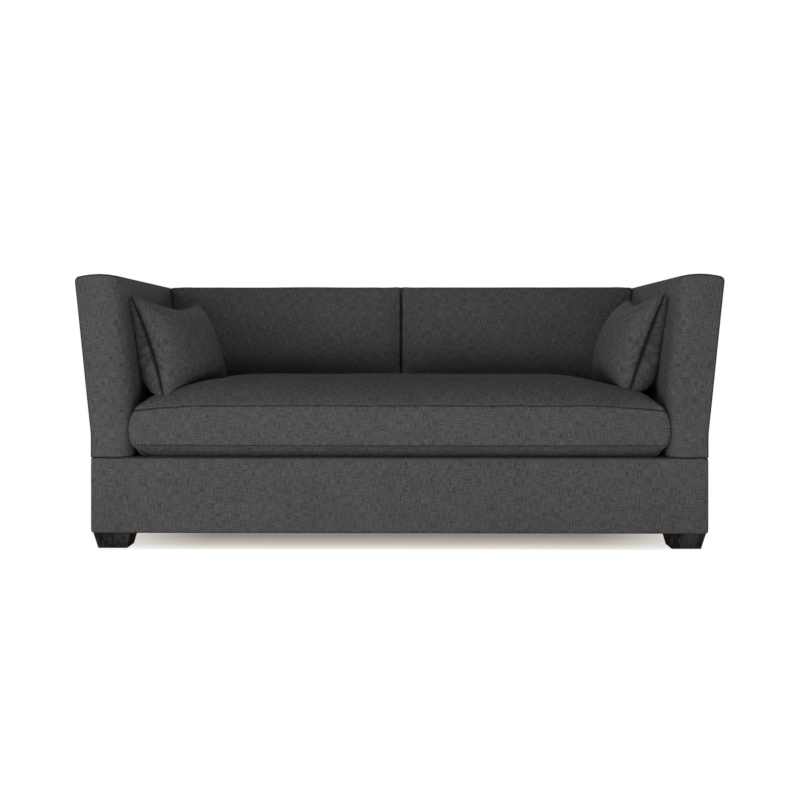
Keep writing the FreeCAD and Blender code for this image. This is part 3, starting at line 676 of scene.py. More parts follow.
def arm_front_and_inside(outline, shape):
    """One panel: the front face, the wrap round its inner corner and the inner face."""
    radius = shape.roll
    left = in_front(outline.outer + outline.outer_in * radius, FRONT)
    top = in_front(outline.top + outline.top_in * radius, FRONT)
    corner, into_face, _ = outline.inner_edge()
    angles, behind = outline.wrap_stations()
    edge = corner + into_face * radius
    share = arc_share(left)[:, None]
    heights = left[0, 2] + (edge[:, 2] - left[0, 2])[None] * share
    x = inner_x(heights, shape) + shape.wrap * (1 - np.sin(angles))[None]
    x += (edge[:, 0] - x[-1])[None] * smooth_step(heights, SEAM + shape.inner_bend, edge[:, 2][None])
    wrapped = np.stack([x, np.broadcast_to(FRONT + behind, x.shape), heights], axis=-1)
    wrapped[-1] = edge
    bottom = np.linspace(left[0], wrapped[0, 0], len(top))
    front = fill_between(left, wrapped[:, 0], bottom, top)
    points = np.concatenate([front, wrapped[:, 1:]], axis=1)
    outward = np.zeros((points.shape[1], 3))
    outward[:, 1] = -1.0
    outward[len(top):, 0] = -np.sin(angles[1:])
    outward[len(top):, 1] = -np.cos(angles[1:])
    runs = np.linalg.norm(np.diff(points[:, len(top) - 1:, :2], axis=1), axis=-1)
    along = points[:, len(top) - 1, :1] - np.cumsum(runs, axis=1)
    threads = np.stack([np.concatenate([front[..., 0], along], axis=1), points[..., 2]], axis=-1)
    return points, outward, threads


def to_nearest(points, line):
    """Distance of every point to the nearest point of a line."""
    flat = points.reshape(-1, 3)
    best = np.full(len(flat), 9.0)
    for start in range(0, len(flat), 2000):
        part = flat[start:start + 2000]
        best[start:start + 2000] = np.linalg.norm(part[:, None] - line[None], axis=2).min(axis=1)
    return best.reshape(points.shape[:-1])


def arm_facing(outline, line, seed):
    """Front and inside of an arm, padded, with the places of its threads and its distances to a seam."""
    shape = outline.shape
    points, outward, threads = arm_front_and_inside(outline, shape)
    half_roll = shape.roll * math.pi / 4
    away = to_nearest(points, line)
    above = points[..., 2] - SEAM
    fullness = padding(points, away, half_roll, (0.0030, 0.07), (0.0009, 0.05), 0.30, seed)
    points = points + outward[None] * (fullness - tucked(above, shape.roll))[..., None]
    from_rear = outline.rear - points[..., 1]
    points[..., 0] += tucked(from_rear, shape.roll)
    seam = near_seam(-np.maximum(away, half_roll), -above - SEAM_GAP)
    return points, threads, near_seam(seam, -from_rear - SEAM_GAP)


def arm_outside(outline, line, edge, outward, seed):
    """Top and outside of an arm: the edge of the rolled seam drawn back to the rear, and padded."""
    shape = outline.shape
    lengthwise = edge[len(outward) - 1:, 1]
    share = (lengthwise - lengthwise[0]) / (lengthwise[-1] - lengthwise[0])
    across = edge[:len(outward)]
    points = np.repeat(across[:, None], len(share), axis=1)
    points[..., 1] += (lengthwise[-1] - across[:, 1])[:, None] * share[None]
    half_roll = shape.roll * math.pi / 4
    away = to_nearest(points, line)
    above = points[..., 2] - SEAM
    from_rear = outline.rear - points[..., 1]
    fullness = padding(points, away, half_roll, (0.0022, 0.06), (0.0009, 0.05), 0.34, seed)
    fullness = fullness - tucked(above, shape.roll) - tucked(from_rear, shape.roll)
    seam = near_seam(np.maximum(away, half_roll), above + SEAM_GAP)
    return points + outward[:, None] * fullness[..., None], None, near_seam(seam, from_rear + SEAM_GAP)


def arm_cover(side, name):
    """Cover of one arm: front and inside in one panel, top and outside in another, rolled at the seam."""
    shape = shape_settings()
    outline = ArmOutline(shape)
    corner, into_face, into_top = outline.inner_edge()
    front = in_front(np.concatenate([outline.outer, outline.top[1:]]), FRONT)
    front_in = in_front(np.concatenate([outline.outer_in, outline.top_in[1:]]), 0.0)
    line = np.concatenate([front, corner[1:]])
    into_facing = np.concatenate([front_in, into_face[1:]])
    into_outside = np.concatenate([np.tile([0.0, 1.0, 0.0], (len(front), 1)), into_top[1:]])
    outward = np.concatenate([-front_in, np.tile([0.0, 0.0, 1.0], (WRAP_STEPS, 1))])
    strip, strip_seam = roll_strip(line, into_facing, into_outside, shape.roll)
    panels = (arm_facing(outline, line, 5 + side),
              (strip, None, strip_seam),
              arm_outside(outline, line, line + into_outside * shape.roll, outward, 15 + side))
    cover = Cover(f"arm_cloth_{name}")
    for points, threads, seam in panels:
        cover.panel(points * (side, 1.0, 1.0), threads, seam)
    upholster(cover, f"arm_cover_{name}")


BESIDE_SEAM = np.array([0.0, 0.0006, 0.0018, 0.0040])
BASE_COLUMN = 1.6 * ROW_STEP
ROLL_IN = 0.0115


def base_path(half_x, half_y, radius, start_y):
    """Plan of the base's front cloth: from one side seam, round the corner, across and back."""
    turns = np.linspace(0.0, math.pi / 2, 6)
    tail = np.stack([np.full(len(BESIDE_SEAM), -half_x), start_y - BESIDE_SEAM], axis=1)
    corner_out = np.stack([-np.cos(turns), -np.sin(turns)], axis=1)
    corner = (-half_x, -half_y) + radius * (1 + corner_out)
    left = np.concatenate([tail, corner])
    left_out = np.concatenate([np.tile((-1.0, 0.0), (len(tail), 1)), corner_out])
    count = int(2 * (half_x - radius) / BASE_COLUMN)
    middle = np.linspace(corner[-1], (half_x - radius, -half_y), count + 1)[1:-1]
    points = np.concatenate([left, middle, left[::-1] * (-1.0, 1.0)])
    outward = np.concatenate([left_out, np.tile((0.0, -1.0), (len(middle), 1)), left_out[::-1] * (-1.0, 1.0)])
    return points, outward


def straight_path(start, end, outward):
    """Plan of a side of the base, from seam to seam."""
    start, end = np.array(start), np.array(end)
    total = float(np.linalg.norm(end - start))
    close = BESIDE_SEAM / total
    inner = np.linspace(0.0, 1.0, int(total / BASE_COLUMN))[1:-1]
    share = np.concatenate([close, inner, 1.0 - close[::-1]])
    points = start + (end - start) * share[:, None]
    return points, np.tile(outward, (len(points), 1))


def base_profile(shape):
    """The base's section: how far each row is drawn in, and its height, from the top seam to below."""
    roll, edge = shape.roll, shape.base_edge
    turns = np.linspace(0.0, math.pi / 2, 6)
    top = [(PADDING, SEAM), (roll, SEAM)]
    top += [(roll * (1 - math.sin(turn)), SEAM - roll * (1 - math.cos(turn))) for turn in turns[1:]]
    low = BASE_BOTTOM + edge
    face = [(0.0, z) for z in np.linspace(SEAM - roll, low, 16)[1:-1]]
    below = [(edge * (1 - math.cos(turn)), low - edge * math.sin(turn)) for turn in turns]
    return np.array(top + face + below + [(PADDING, BASE_BOTTOM)])


def base_panel(name, node, path, seed):
    """Padded cloth of one side of the base, rolled at the top seam and round its lower edge."""
    shape = shape_settings()
    points, outward = path
    profile = base_profile(shape)
    drawn, heights = profile[:, 0], profile[:, 1]
    along = lengths_along(points)
    from_end = np.minimum(along, along[-1] - along)
    grid = np.zeros((len(profile), len(points), 3))
    grid[..., :2] = points[None] - outward[None] * drawn[:, None, None]
    grid[..., 2] = heights[:, None]
    middle = smooth_step(heights, BASE_BOTTOM, BASE_BOTTOM + 0.05) * smooth_step(SEAM - heights, 0.0, 0.04)
    inside = smooth_step(from_end, 0.0, 0.05)
    fullness = (0.0016 + 0.0010 * waves(grid, 0.42, seed)) * middle[:, None] * inside
    fullness -= tucked(from_end, BESIDE_SEAM[-1])
    between_arms = smooth_step(ARM_INNER - np.abs(points[:, 0]), 0.0, 0.03) * (points[:, 1] < FRONT + 0.02)
    from_top = np.clip((SEAM - heights) / shape.front_roll, 0.0, 1.0)
    fullness -= ROLL_IN * ((1.0 - from_top) ** 2)[:, None] * between_arms[None]
    grid[..., :2] += outward[None] * fullness[..., None]
    down = lengths_along(profile)
    threads = np.stack(np.meshgrid(along + seed, down), axis=-1)
    top_seam = (down - down[3])[:, None]
    cover = Cover(name)
    cover.panel(grid, threads, near_seam(top_seam, from_end + SEAM_GAP))
    upholster(cover, node)


def base_covers():
    """Cloth round the four sides of the base: the front and rear cloths turn its corners."""
    half_depth = (REAR - FRONT) / 2
    seam_y = -half_depth + PADDING
    plan, outward = base_path(HALF_BASE, half_depth, shape_settings().base_edge, seam_y)
    base_panel("base_front_cloth", "base_front_panel", (plan, outward), 1)
    base_panel("base_rear_cloth", "base_rear_panel", (plan * (1.0, -1.0), outward * (1.0, -1.0)), 2)
    for name, side in SIDES:
        path = straight_path((side * HALF_BASE, seam_y), (side * HALF_BASE, -seam_y), (float(side), 0.0))
        base_panel(f"base_side_cloth_{name}", f"base_side_panel_{name}", path, 3 + side)


# Back covers

BACK_UNDER_ARM = 0.003
BACK_STEP_DOWN = 0.0060
OUTSIDE_ROUND = 0.007


def over_back(from_arm, shape):
    """How far the back's top stands over its timber: lower beside an arm, crowned between the arms."""
    crown = shape.back_crown * smooth_step(from_arm, 0.0, 0.07)
    return crown - BACK_STEP_DOWN * (1.0 - smooth_step(from_arm, 0.0, 0.028))


def inside_section(shape):
    """Section of the inside back from the seat over the rounded top to the rear, with its directions."""
    lean, radius = shape.back_lean, shape.back_round
    slope = math.tan(lean)
    rear = REAR - PADDING
    top_y = REAR - shape.back_depth
    angles = np.linspace(math.pi - lean, math.pi / 2, 9)
    arc_out = np.stack([np.cos(angles), np.sin(angles)], axis=1)
    arc = (top_y - radius * slope + radius / math.cos(lean), BACK_TOP - radius) + radius * arc_out
    low = (arc[0, 0] - (arc[0, 1] - SEAM) * slope, SEAM)
    front = np.linspace(low, arc[0], 40)[:-1]
    close = rear - shape.roll * ROLL_ROWS[::-1]
    top_line = np.concatenate([np.linspace(arc[-1, 0], close[0], 6)[1:-1], close])
    flat = np.stack([top_line, np.full(len(top_line), BACK_TOP)], axis=1)
    outward = [np.tile((-math.cos(lean), math.sin(lean)), (len(front), 1)), arc_out,
               np.tile((0.0, 1.0), (len(flat), 1))]
    return np.concatenate([front, arc, flat]), np.concatenate(outward)


def inside_back():
    """Cloth over the front and top of the back, between the arms."""
    shape = shape_settings()
    section, outward = inside_section(shape)
    beside_arm = 1.0 - np.array([0.0, 0.003, 0.008, 0.014, 0.022, 0.032])
    share = np.concatenate([-beside_arm, np.linspace(-0.955, 0.955, 84), beside_arm[::-1]])
    under_arm = BACK_UNDER_ARM + 0.009 * smooth_step(section[:, 1], BACK_TOP - 0.02, BACK_TOP)
    half = inner_x(section[:, 1], shape) + under_arm
    grid = np.zeros((len(section), len(share), 3))
    grid[..., 0] = half[:, None] * share[None]
    grid[..., 1:] = section[:, None]
    from_rear = REAR - PADDING - grid[..., 1]
    push = 0.0012 * waves(grid, 0.40, 31) * smooth_step(from_rear, 0.0, 0.05) - tucked(from_rear, shape.roll)
    push += over_back(half[:, None] - np.abs(grid[..., 0]), shape) * outward[:, 1:] ** 2
    grid[..., 1:] += outward[:, None] * push[..., None]
    cover = Cover("inside_back_cloth")
    cover.panel(grid, None, from_rear + SEAM_GAP)
    upholster(cover, "inside_back_panel")


def back_outline(shape):
    """Outline of the sofa's rear above the seam, from the left bottom over the top to the right bottom."""
    arm = ArmOutline(shape)
    right = np.concatenate([arm.outer, arm.top[1:]])
    right_in = np.concatenate([arm.outer_in, arm.top_in[1:]])
    crown_xs = np.linspace(right[-1, 0], arm.inner_top_x, 5)[1:]
    crown = np.stack([crown_xs, crown_height(crown_xs, shape)], axis=1)
    crown_in = np.tile([0.0, -1.0], (len(crown), 1))
    step = 0.020
    ease = np.linspace(0.0, 1.0, 5)[1:]
    drop = (crown[-1, 1] - BACK_TOP) * smooth_step(ease, 0.0, 1.0)
    down = np.stack([arm.inner_top_x - step * ease, crown[-1, 1] - drop], axis=1)
    xs = np.linspace(down[-1, 0], 0.0, 34)[1:]
    middle = np.stack([xs, BACK_TOP + shape.back_crown * smooth_step(xs[0] - xs, 0.0, 0.05)], axis=1)
    line = np.concatenate([right, crown, down, middle])
    line_in = np.concatenate([right_in, crown_in, np.tile([0.0, -1.0], (len(down) + len(middle), 1))])
    return line, line_in, len(arm.outer)


def outside_back():
    """Cloth over the whole rear above the seam, turned forward at its edge to meet the arms and the top."""
    shape = shape_settings()
    radius = OUTSIDE_ROUND
    line, line_in, up_count = back_outline(shape)
    corner = in_front(np.concatenate([line, line[-2::-1] * (-1.0, 1.0)]), REAR)
    into_face = in_front(np.concatenate([line_in, line_in[-2::-1] * (-1.0, 1.0)]), 0.0)
    edge = corner + into_face * radius
    left, top, right = edge[:up_count], edge[up_count - 1:len(edge) - up_count + 1], edge[::-1][:up_count]
    face = fill_between(left, right, np.linspace(left[0], right[0], len(top)), top)
    above = face[..., 2] - SEAM
    fullness = padding(face, to_nearest(face, corner), radius, (0.0020, 0.09), (0.0012, 0.06), 0.38, 44)
    face[..., 1] += fullness - tucked(above, shape.roll)
    forward = np.tile([0.0, -1.0, 0.0], (len(corner), 1))
    strip, _ = roll_strip(corner, into_face, forward, radius)
    depth = PADDING - radius - shape.roll * ROLL_ROWS[4::-1]
    run = np.concatenate([[0.0], depth])[:, None, None]
    inset = np.concatenate([[0.0], tucked(PADDING - radius - depth, shape.roll)])[:, None, None]
    cover = Cover("outside_back_cloth")
    cover.panel(face, face[..., [0, 2]], above + SEAM_GAP)
    cover.panel(strip, None, np.full((len(strip), 1), 0.02))
    to_seam = PADDING - radius - run + SEAM_GAP
    cover.panel(strip[-1] + forward * run + into_face * inset, None, to_seam[..., 0])
    upholster(cover, "outside_back_panel")


# Cushions and pillows

PILLOW_CORNER = 0.016
CLOTH_FRAMES = 20
CLOTH_STIFFNESS = 15.0


def edge_first(length, step, close=(0.0, 0.003, 0.008)):
    """Places from end to end of a length, closer together beside both ends."""
    inner = np.linspace(close[-1] + step * 0.8, length - close[-1] - step * 0.8, int(length / step))
    return np.concatenate([close, inner, length - np.array(close[::-1])])


def from_border(xs, ys, half):
    """Distance of every point of a grid to the nearest side of its rectangle."""
    return np.minimum((half[1] - np.abs(ys))[:, None], (half[0] - np.abs(xs))[None])


def rounded_plan(x, y, half, corner):
    """Moves a rectangle's grid onto the same rectangle with rounded corners."""
    flat_x, flat_y = half[0] - corner, half[1] - corner
    over_x = np.clip((np.abs(x) - flat_x) / corner, 0.0, 1.0)
    over_y = np.clip((np.abs(y) - flat_y) / corner, 0.0, 1.0)
    in_corner = (over_x > 0) & (over_y > 0)
    round_x = flat_x + corner * over_x * np.sqrt(1 - over_y ** 2 / 2)
    round_y = flat_y + corner * over_y * np.sqrt(1 - over_x ** 2 / 2)
    return np.where(in_corner, np.sign(x) * round_x, x), np.where(in_corner, np.sign(y) * round_y, y)


def loop_of(grid):
    """The border of a grid as one closed row of points."""
    return np.concatenate([grid[0, :-1], grid[:-1, -1], grid[-1, :0:-1], grid[:0:-1, 0], grid[:1, 0]])


def plan_outward(loop):
    """Outward directions in plan along a closed row of points."""
    ahead = np.roll(loop[:-1], -1, axis=0) - np.roll(loop[:-1], 1, axis=0)
    normal = unit(np.stack([ahead[:, 1], -ahead[:, 0]], axis=1))
    return np.concatenate([normal, normal[:1]])


def crown_share(distance, spread):
    """Share of a crown's height at a distance from one border."""
    part = np.clip(distance / spread, 0.0, 1.0)
    return part * (2.0 - part)


def crowned(x, y, half, spread, squareness):
    """Share of the crown's height over a cushion: 0 at its border and 1 in the middle."""
    across = 1.0 - crown_share(half[0] - np.abs(x), spread[0])
    along = 1.0 - crown_share(half[1] - np.abs(y), spread[1])
    return 1.0 - np.clip(across ** squareness + along ** squareness, 0.0, 1.0) ** (1 / squareness)


def flat_face(plan):
    return np.zeros(plan.shape[:-1])


def cushion_face(x, y, half, ring, surface):
    """A face of a cushion that ends on the last ring of its boxing."""
    shrink = np.abs(ring[:, :2]).max(axis=0) / half
    plan = np.stack([x * shrink[0], y * shrink[1]], axis=-1)
    grid = np.concatenate([plan, surface(plan)[..., None]], axis=-1)
    rows, columns = grid.shape[:2]
    sides = np.split(ring[:-1], np.cumsum([columns - 1, rows - 1, columns - 1]))
    grid[0, :-1], grid[:-1, -1], grid[-1, :0:-1], grid[:0:-1, 0] = sides
    return grid


def boxed_cushion(name, form, step):
    """Closed cushion: a crowned face and a flat one, joined by the rings of the boxing."""
    xs, ys = (edge_first(2 * half, step) - half for half in form.half)
    x, y = rounded_plan(*np.meshgrid(xs, ys), form.half, form.corner)
    loop = loop_of(np.stack([x, y], axis=-1))
    border = plan_outward(loop)
    rings, seams = [], []
    for drawn, height, seam in form.rings(loop):
        rings.append(np.column_stack([loop - border * drawn, np.broadcast_to(height, len(loop))]))
        seams.append([seam])
    away = from_border(xs, ys, form.half)
    top = cushion_face(x, y, form.half, rings[-1], form.top)
    bottom = cushion_face(x, y, form.half, rings[0], flat_face)
    cover = Cover(name)
    cover.panel(top, top[..., :2], away)
    cover.panel(np.array(rings), None, np.array(seams))
    cover.panel(bottom, bottom[..., :2], away)
    return cover.sewn()


def mesh_points(mesh):
    points = np.empty(len(mesh.vertices) * 3)
    mesh.vertices.foreach_get("co", points)
    return points.reshape(-1, 3)


def move_points(mesh, points):
    mesh.vertices.foreach_set("co", points.ravel())
    mesh.update()


def inflate(obj, pressure, cap, shrink=0.0, bending=0.6, held=None):
    """Blows the cloth up a little with the cloth solver and keeps the result on the mesh.

    Cap is the furthest that a point may move. Held is two heights: below the first the cloth stays,
    above the second it is free."""
    rest = mesh_points(obj.data)
    cloth = obj.modifiers.new("puff", "CLOTH")
    settings = cloth.settings
    settings.quality = 6
    settings.mass = 0.25
    settings.tension_stiffness = CLOTH_STIFFNESS
    settings.compression_stiffness = CLOTH_STIFFNESS
    settings.shear_stiffness = CLOTH_STIFFNESS * 0.4
    settings.bending_stiffness = bending
    settings.use_pressure = True
    settings.uniform_pressure_force = pressure
    settings.shrink_min = shrink
    settings.effector_weights.gravity = 0.0
    cloth.collision_settings.use_collision = False
    cloth.point_cache.frame_start = 1
    cloth.point_cache.frame_end = CLOTH_FRAMES
    scene = bpy.context.scene
    for number in range(1, CLOTH_FRAMES + 1):
        scene.frame_set(number)
    blown = mesh_points(obj.evaluated_get(bpy.context.evaluated_depsgraph_get()).data)
    obj.modifiers.remove(cloth)
    scene.frame_set(1)
    move = blown - rest
    if held is not None:
        move *= smooth_step(rest[:, 2], *held)[:, None]
    reach = np.linalg.norm(move, axis=1)[:, None]
    move *= cap * np.tanh(reach / cap) / np.maximum(reach, 1e-9)
    move_points(obj.data, rest + move)


def settle(obj, change, body, core):
    """Puts a cushion in its place with a function on its points, for its CAD cover and what fills it."""
    move_points(obj.data, change(mesh_points(obj.data)))
    face_outward(obj.data)
    finer(obj)
    dress(obj, cover_cloth(), body, [body, core])


def pressed(over, soft):
    """Keeps a distance below zero, with a soft bend instead of a crease."""
    return -soft * np.logaddexp(0.0, -over / soft)


class SeatForm:
    """Sizes of the bench cushion, in its own frame: X across, Y to the rear, Z up from its bottom."""

    gap = 0.0006
    lower, upper = 0.0275, 0.142
    crown, arch, arch_start = 0.073, 0.0190, 0.50
    spread, squareness, shoulder = (0.300, 0.215), 2.4, 0.011
    corner, undercut, inset, stitch = 0.017, 0.050, 0.005, 0.0022
    below_rings = (0.0, 0.12, 0.28, 0.46, 0.64, 0.82)
    boxing_rings = (0.0, 0.022, 0.07, 0.16, 0.28, 0.42, 0.58, 0.72, 0.84, 0.93, 0.978, 1.0)
    end_bulge, end_tuck, front_bulge = 0.014, 0.003, 0.0025

    def __init__(self):
        self.front, self.rear = SEAT[0].y + 0.0005, SEAT[1].y - 0.0005
        self.half = (ARM_INNER - self.gap, (self.rear - self.front) / 2)
        self.inner = tuple(half - self.inset for half in self.half)
        self.middle = (self.front + self.rear) / 2
        self.base = SEAM + self.gap

    def seam_height(self, x):
        """Height of the upper seam, which falls towards both ends."""
        fall = np.clip((np.abs(x) - self.arch_start) / (self.half[0] - self.arch_start), 0.0, 1.0)
        return self.upper - self.arch * fall ** 2

    def top(self, plan):
        """Height of the crowned top: a quick rise at the seam, then a slow one to the middle."""
        x, y = plan[..., 0], plan[..., 1]
        share = crowned(x, y, self.inner, self.spread, self.squareness)
        edge = np.minimum(self.inner[0] - np.abs(x), self.inner[1] - np.abs(y))
        shoulder = 1.0 - np.exp(-np.maximum(edge, 0.0) / self.shoulder)
        end = smooth_step(np.abs(x), self.half[0] - 0.16, self.half[0] - 0.05)
        seam = self.seam_height(x)
        full = (0.10 + 0.20 * end) * shoulder
        return seam + (self.upper + self.crown - seam) * (full + (1.0 - full) * share)

    def height(self, x, y):
        """Height of the cushion's top in the sofa's frame."""
        return self.base + self.top(np.stack([x, y - self.middle], axis=-1))

    def rings(self, loop):
        """From the bottom up: how far each ring is drawn in, its height and its distance to a seam."""
        made = []
        for part in self.below_rings:
            drawn = self.inset + (self.undercut - self.inset) * (1.0 - part) ** 1.15
            made.append((drawn, self.lower * part, (part - 1.0) * self.lower))
        made.append((self.inset * 1.15, self.lower - self.stitch, -self.stitch))
        rise = self.seam_height(loop[:, 0]) - self.lower
        for part in self.boxing_rings:
            drawn = self.inset * (1.15 if part in (0.0, 1.0) else 1.0 - 4 * part * (1 - part))
            away = np.minimum(part, 1 - part) * (self.upper - self.lower)
            made.append((drawn, self.lower + rise * part, away))
        return made

    def placed(self, points, wrap):
        """Its points in the sofa's frame: the ends swell round the arms' front edges and stop at the arms."""
        half_x, half_y = self.half
        depth = np.clip(wrap - 0.001 - (points[:, 1] + self.middle - FRONT), 0.0, wrap * 0.93)
        opening = wrap - np.sqrt(wrap ** 2 - depth ** 2)
        bulge = np.clip(points[:, 2] * (self.upper - points[:, 2]) * 4 / self.upper ** 2, 0.0, 1.0)
        end = smooth_step(np.abs(points[:, 0]), half_x - 0.05, half_x)
        free = smooth_step(depth, 0.0, wrap * 0.5)
        points[:, 0] += np.sign(points[:, 0]) * end * free * (self.end_bulge * bulge - self.end_tuck)
        points[:, 1] -= self.front_bulge * bulge * smooth_step(-points[:, 1], half_y - 0.03, half_y)
        limit_x = half_x + np.maximum(opening - 0.001, 0.0)
        points[:, 0] = np.clip(points[:, 0], -limit_x, limit_x)
        points[:, 1] = np.clip(points[:, 1], -half_y - 0.004, half_y)
        points[:, 2] = np.maximum(points[:, 2], 0.0)
        points[:, 2] += 0.0012 * waves(points, 0.30, 61) * smooth_step(points[:, 2], 0.06, 0.15)
        return points + (0.0, self.middle, self.base)


def seat_cushion():
    """Bench cushion with two seams round its boxing and a crowned top."""
    form = SeatForm()
    wrap = shape_settings().wrap
    obj = boxed_cushion("seat_cushion_cloth", form, 0.016)
    inflate(obj, 1.5, 0.006, held=(0.005, 0.06))
    settle(obj, lambda points: form.placed(points, wrap), "seat_cushion", "seat_cushion_core")


class BackForm:
    """Sizes of a back cushion and where it stands, in its own frame: X out, Y up the back, Z forward."""

    low, high, depth, crown = 0.138, 0.509, 0.128, 0.027
    spread, squareness = (0.150, 0.150), 2.2
    corner, inset = 0.013, 0.002
    near, arm_gap, face_gap = 0.0006, 0.0008, 0.0008
    boxing_rings = (0.0, 0.02, 0.07, 0.17, 0.3, 0.45, 0.6, 0.75, 0.87, 0.95, 0.98, 1.0)
    outer_drop, middle_drop = 0.0045, 0.0025
    press = 0.16

    def __init__(self, shape):
        lean = shape.back_lean
        self.shape = shape
        self.up = Vector((0.0, math.sin(lean), math.cos(lean)))
        self.forward = Vector((0.0, -math.cos(lean), math.sin(lean)))
        self.foot = Vector((0.0, REAR - shape.back_depth - (BACK_TOP - SEAM) * math.tan(lean), SEAM))
        self.half = ((self.side_at(self.high) - self.near) / 2, (self.high - self.low) / 2)

    def side_at(self, up):
        """Where the arm's inner face is at a height up the back."""
        return inner_x(SEAM + up * self.up.z, self.shape) - self.arm_gap

    def rings(self, _):
        """From the back to the front: each ring's drawing-in, its height and its distance to a seam."""
        made = []
        for part in self.boxing_rings:
            bulge = (4 * part * (1 - part)) ** 0.7
            away = np.minimum(part, 1 - part) * self.depth
            made.append((self.inset * (1.1 if part in (0.0, 1.0) else 1.0 - bulge), self.depth * part, away))
        return made

    def top(self, plan):
        x, y = plan[..., 0], plan[..., 1]
        inner = tuple(half - self.inset for half in self.half)
        return self.depth + self.crown * crowned(x, y, inner, self.spread, self.squareness)

    def placed(self, points, side, seat):
        """Its points in the sofa's frame: from the middle to the arm, and standing on the seat."""
        up = points[:, 1] + (self.low + self.high) / 2
        levels = np.linspace(0.0, self.depth, 9)
        reach = [np.abs(points[np.abs(points[:, 2] - level) < 0.010, 0]).max() for level in levels]
        seam = 1.0 - 0.004 * smooth_step(points[:, 2], self.depth - 0.012, self.depth)
        share = 0.5 + 0.5 * seam * points[:, 0] / np.interp(points[:, 2], levels, reach)
        x = self.near + share * (self.side_at(up) - self.near)
        forward = np.clip(points[:, 2], self.face_gap, None)
        y = self.foot.y + up * self.up.y + forward * self.forward.y
        z = self.foot.z + up * self.up.z + forward * self.forward.z
        drop = (self.outer_drop * smooth_step(share, 0.93, 1.0)
                + self.middle_drop * smooth_step(1.0 - share, 0.88, 1.0))
        z -= drop * smooth_step(up, self.high - 0.06, self.high)
        floor = seat.height(x, y) + self.face_gap
        start = self.foot.z + self.low * self.up.z + forward * self.forward.z
        lift = np.clip(floor - start, 0.0, self.press)
        part = np.clip((z - start) / self.press, 0.0, 1.0)
        z = np.where(z < start + self.press, z + lift * (1 - part), z)
        return np.stack([side * x, y, np.maximum(z, floor)], axis=1)


def back_cushion(side, name):
    """Back cushion that leans on the back and stands on the seat cushion."""
    form = BackForm(shape_settings())
    seat = SeatForm()
    obj = boxed_cushion(f"back_cushion_cloth_{name}", form, 0.014)
    inflate(obj, 1.6, 0.005, held=(0.0, 0.03))
    settle(obj, lambda points: form.placed(points, side, seat), f"back_cushion_{name}",
           f"back_cushion_core_{name}")


class PillowForm:
    """Sizes of a knife-edged throw pillow, in its own frame: X along the arm, Y up, Z to its front.

    Places gives for each pillow its turn, its roll, how far it stands before the back and inside the
    arm, and how much higher than usual."""

    width, height, front, back = 0.456, 0.338, 0.088, 0.125
    drawn_x, drawn_y = 0.155, 0.165
    lean = math.radians(20.0)
    above_seat = 0.316
    arm_gap, seat_gap = 0.002, 0.002
    places = {"left": (math.radians(15.0), math.radians(1.5), 0.520, 0.106, -0.015),
              "right": (math.radians(3.0), 0.0, 0.472, 0.070, -0.004)}

    def __init__(self, name, shape):
        self.shape = shape
        turn, roll, before_back, inside, lift = self.places[name]
        z = SEAM + self.above_seat + lift
        centre = Vector((float(inner_x(z, shape)) - inside, BackForm(shape).foot.y - before_back, z))
        turned = Matrix.Rotation(turn - math.pi / 2, 4, "Z")
        tilted = Matrix.Rotation(math.pi / 2 - self.lean, 4, "X")
        rolled = Matrix.Rotation(roll, 4, "Z")
        self.place = np.array(Matrix.Translation(centre) @ turned @ tilted @ rolled)

    def sewn(self, name):
        """Two panels with a common edge that is drawn in between the corners."""
        half = (self.width / 2, self.height / 2)
        xs, ys = (edge_first(2 * part, 0.011, (0.0, 0.004)) - part for part in half)
        x, y = np.meshgrid(xs, ys)
        long_way = np.clip(1 - (x / half[0]) ** 2, 0.0, 1.0)
        short_way = np.clip(1 - (y / half[1]) ** 2, 0.0, 1.0)
        round_x, round_y = rounded_plan(x, y, half, PILLOW_CORNER)
        width, height = 1.0 - self.drawn_x * short_way, 1.0 - self.drawn_y * long_way
        plan = np.stack([round_x * width, round_y * height], axis=-1)
        away = from_border(xs, ys, half)
        cover = Cover(name)
        for facing, thickness, power, shift in ((1, self.front, 0.36, 0.7), (-1, self.back, 0.30, 2.1)):
            rise = facing * thickness * 0.93 * (long_way ** power * short_way ** 0.55)
            cover.panel(np.concatenate([plan, rise[..., None]], axis=-1), plan + (0.0, shift), away * facing)
        return cover.sewn()

    def placed(self, points, side, seat):
        """Its points in the sofa's frame, pressed softly against the arm and the seat."""
        points = points @ self.place[:3, :3].T + self.place[:3, 3]
        limit = inner_x(points[:, 2], self.shape) - self.arm_gap
        points[:, 0] = pressed(points[:, 0] - limit, 0.004) + limit
        floor = seat.height(points[:, 0], points[:, 1]) + self.seat_gap
        points[:, 2] = floor - pressed(floor - points[:, 2], 0.005)
        return points * (side, 1.0, 1.0)


def pillow(side, name):
    """Throw pillow: two panels sewn along a knife edge, blown up and leant on the arm and the seat."""
    form = PillowForm(name, shape_settings())
    seat = SeatForm()
    obj = form.sewn(f"throw_pillow_cloth_{name}")
    inflate(obj, 5.0, 0.014, shrink=0.02, bending=0.35)
    settle(obj, lambda points: form.placed(points, side, seat), f"throw_pillow_{name}",
           f"throw_pillow_filling_{name}")


# Frame, feet and the cloths on the frame

PLATE_HALF = 0.025
FOOT_HOLE = 0.0258
DECK_HALF = 0.845
DECK_FRONT_GAP = 0.019

# Of each wood: its dark and light colour, how strong its pores are, and its roughness
STAINED = (0.055, 0.053, 0.050), (0.225, 0.218, 0.206), 0.8, 0.6
PLANED = (0.60, 0.47, 0.33), (0.80, 0.69, 0.53), 0.35, 0.62


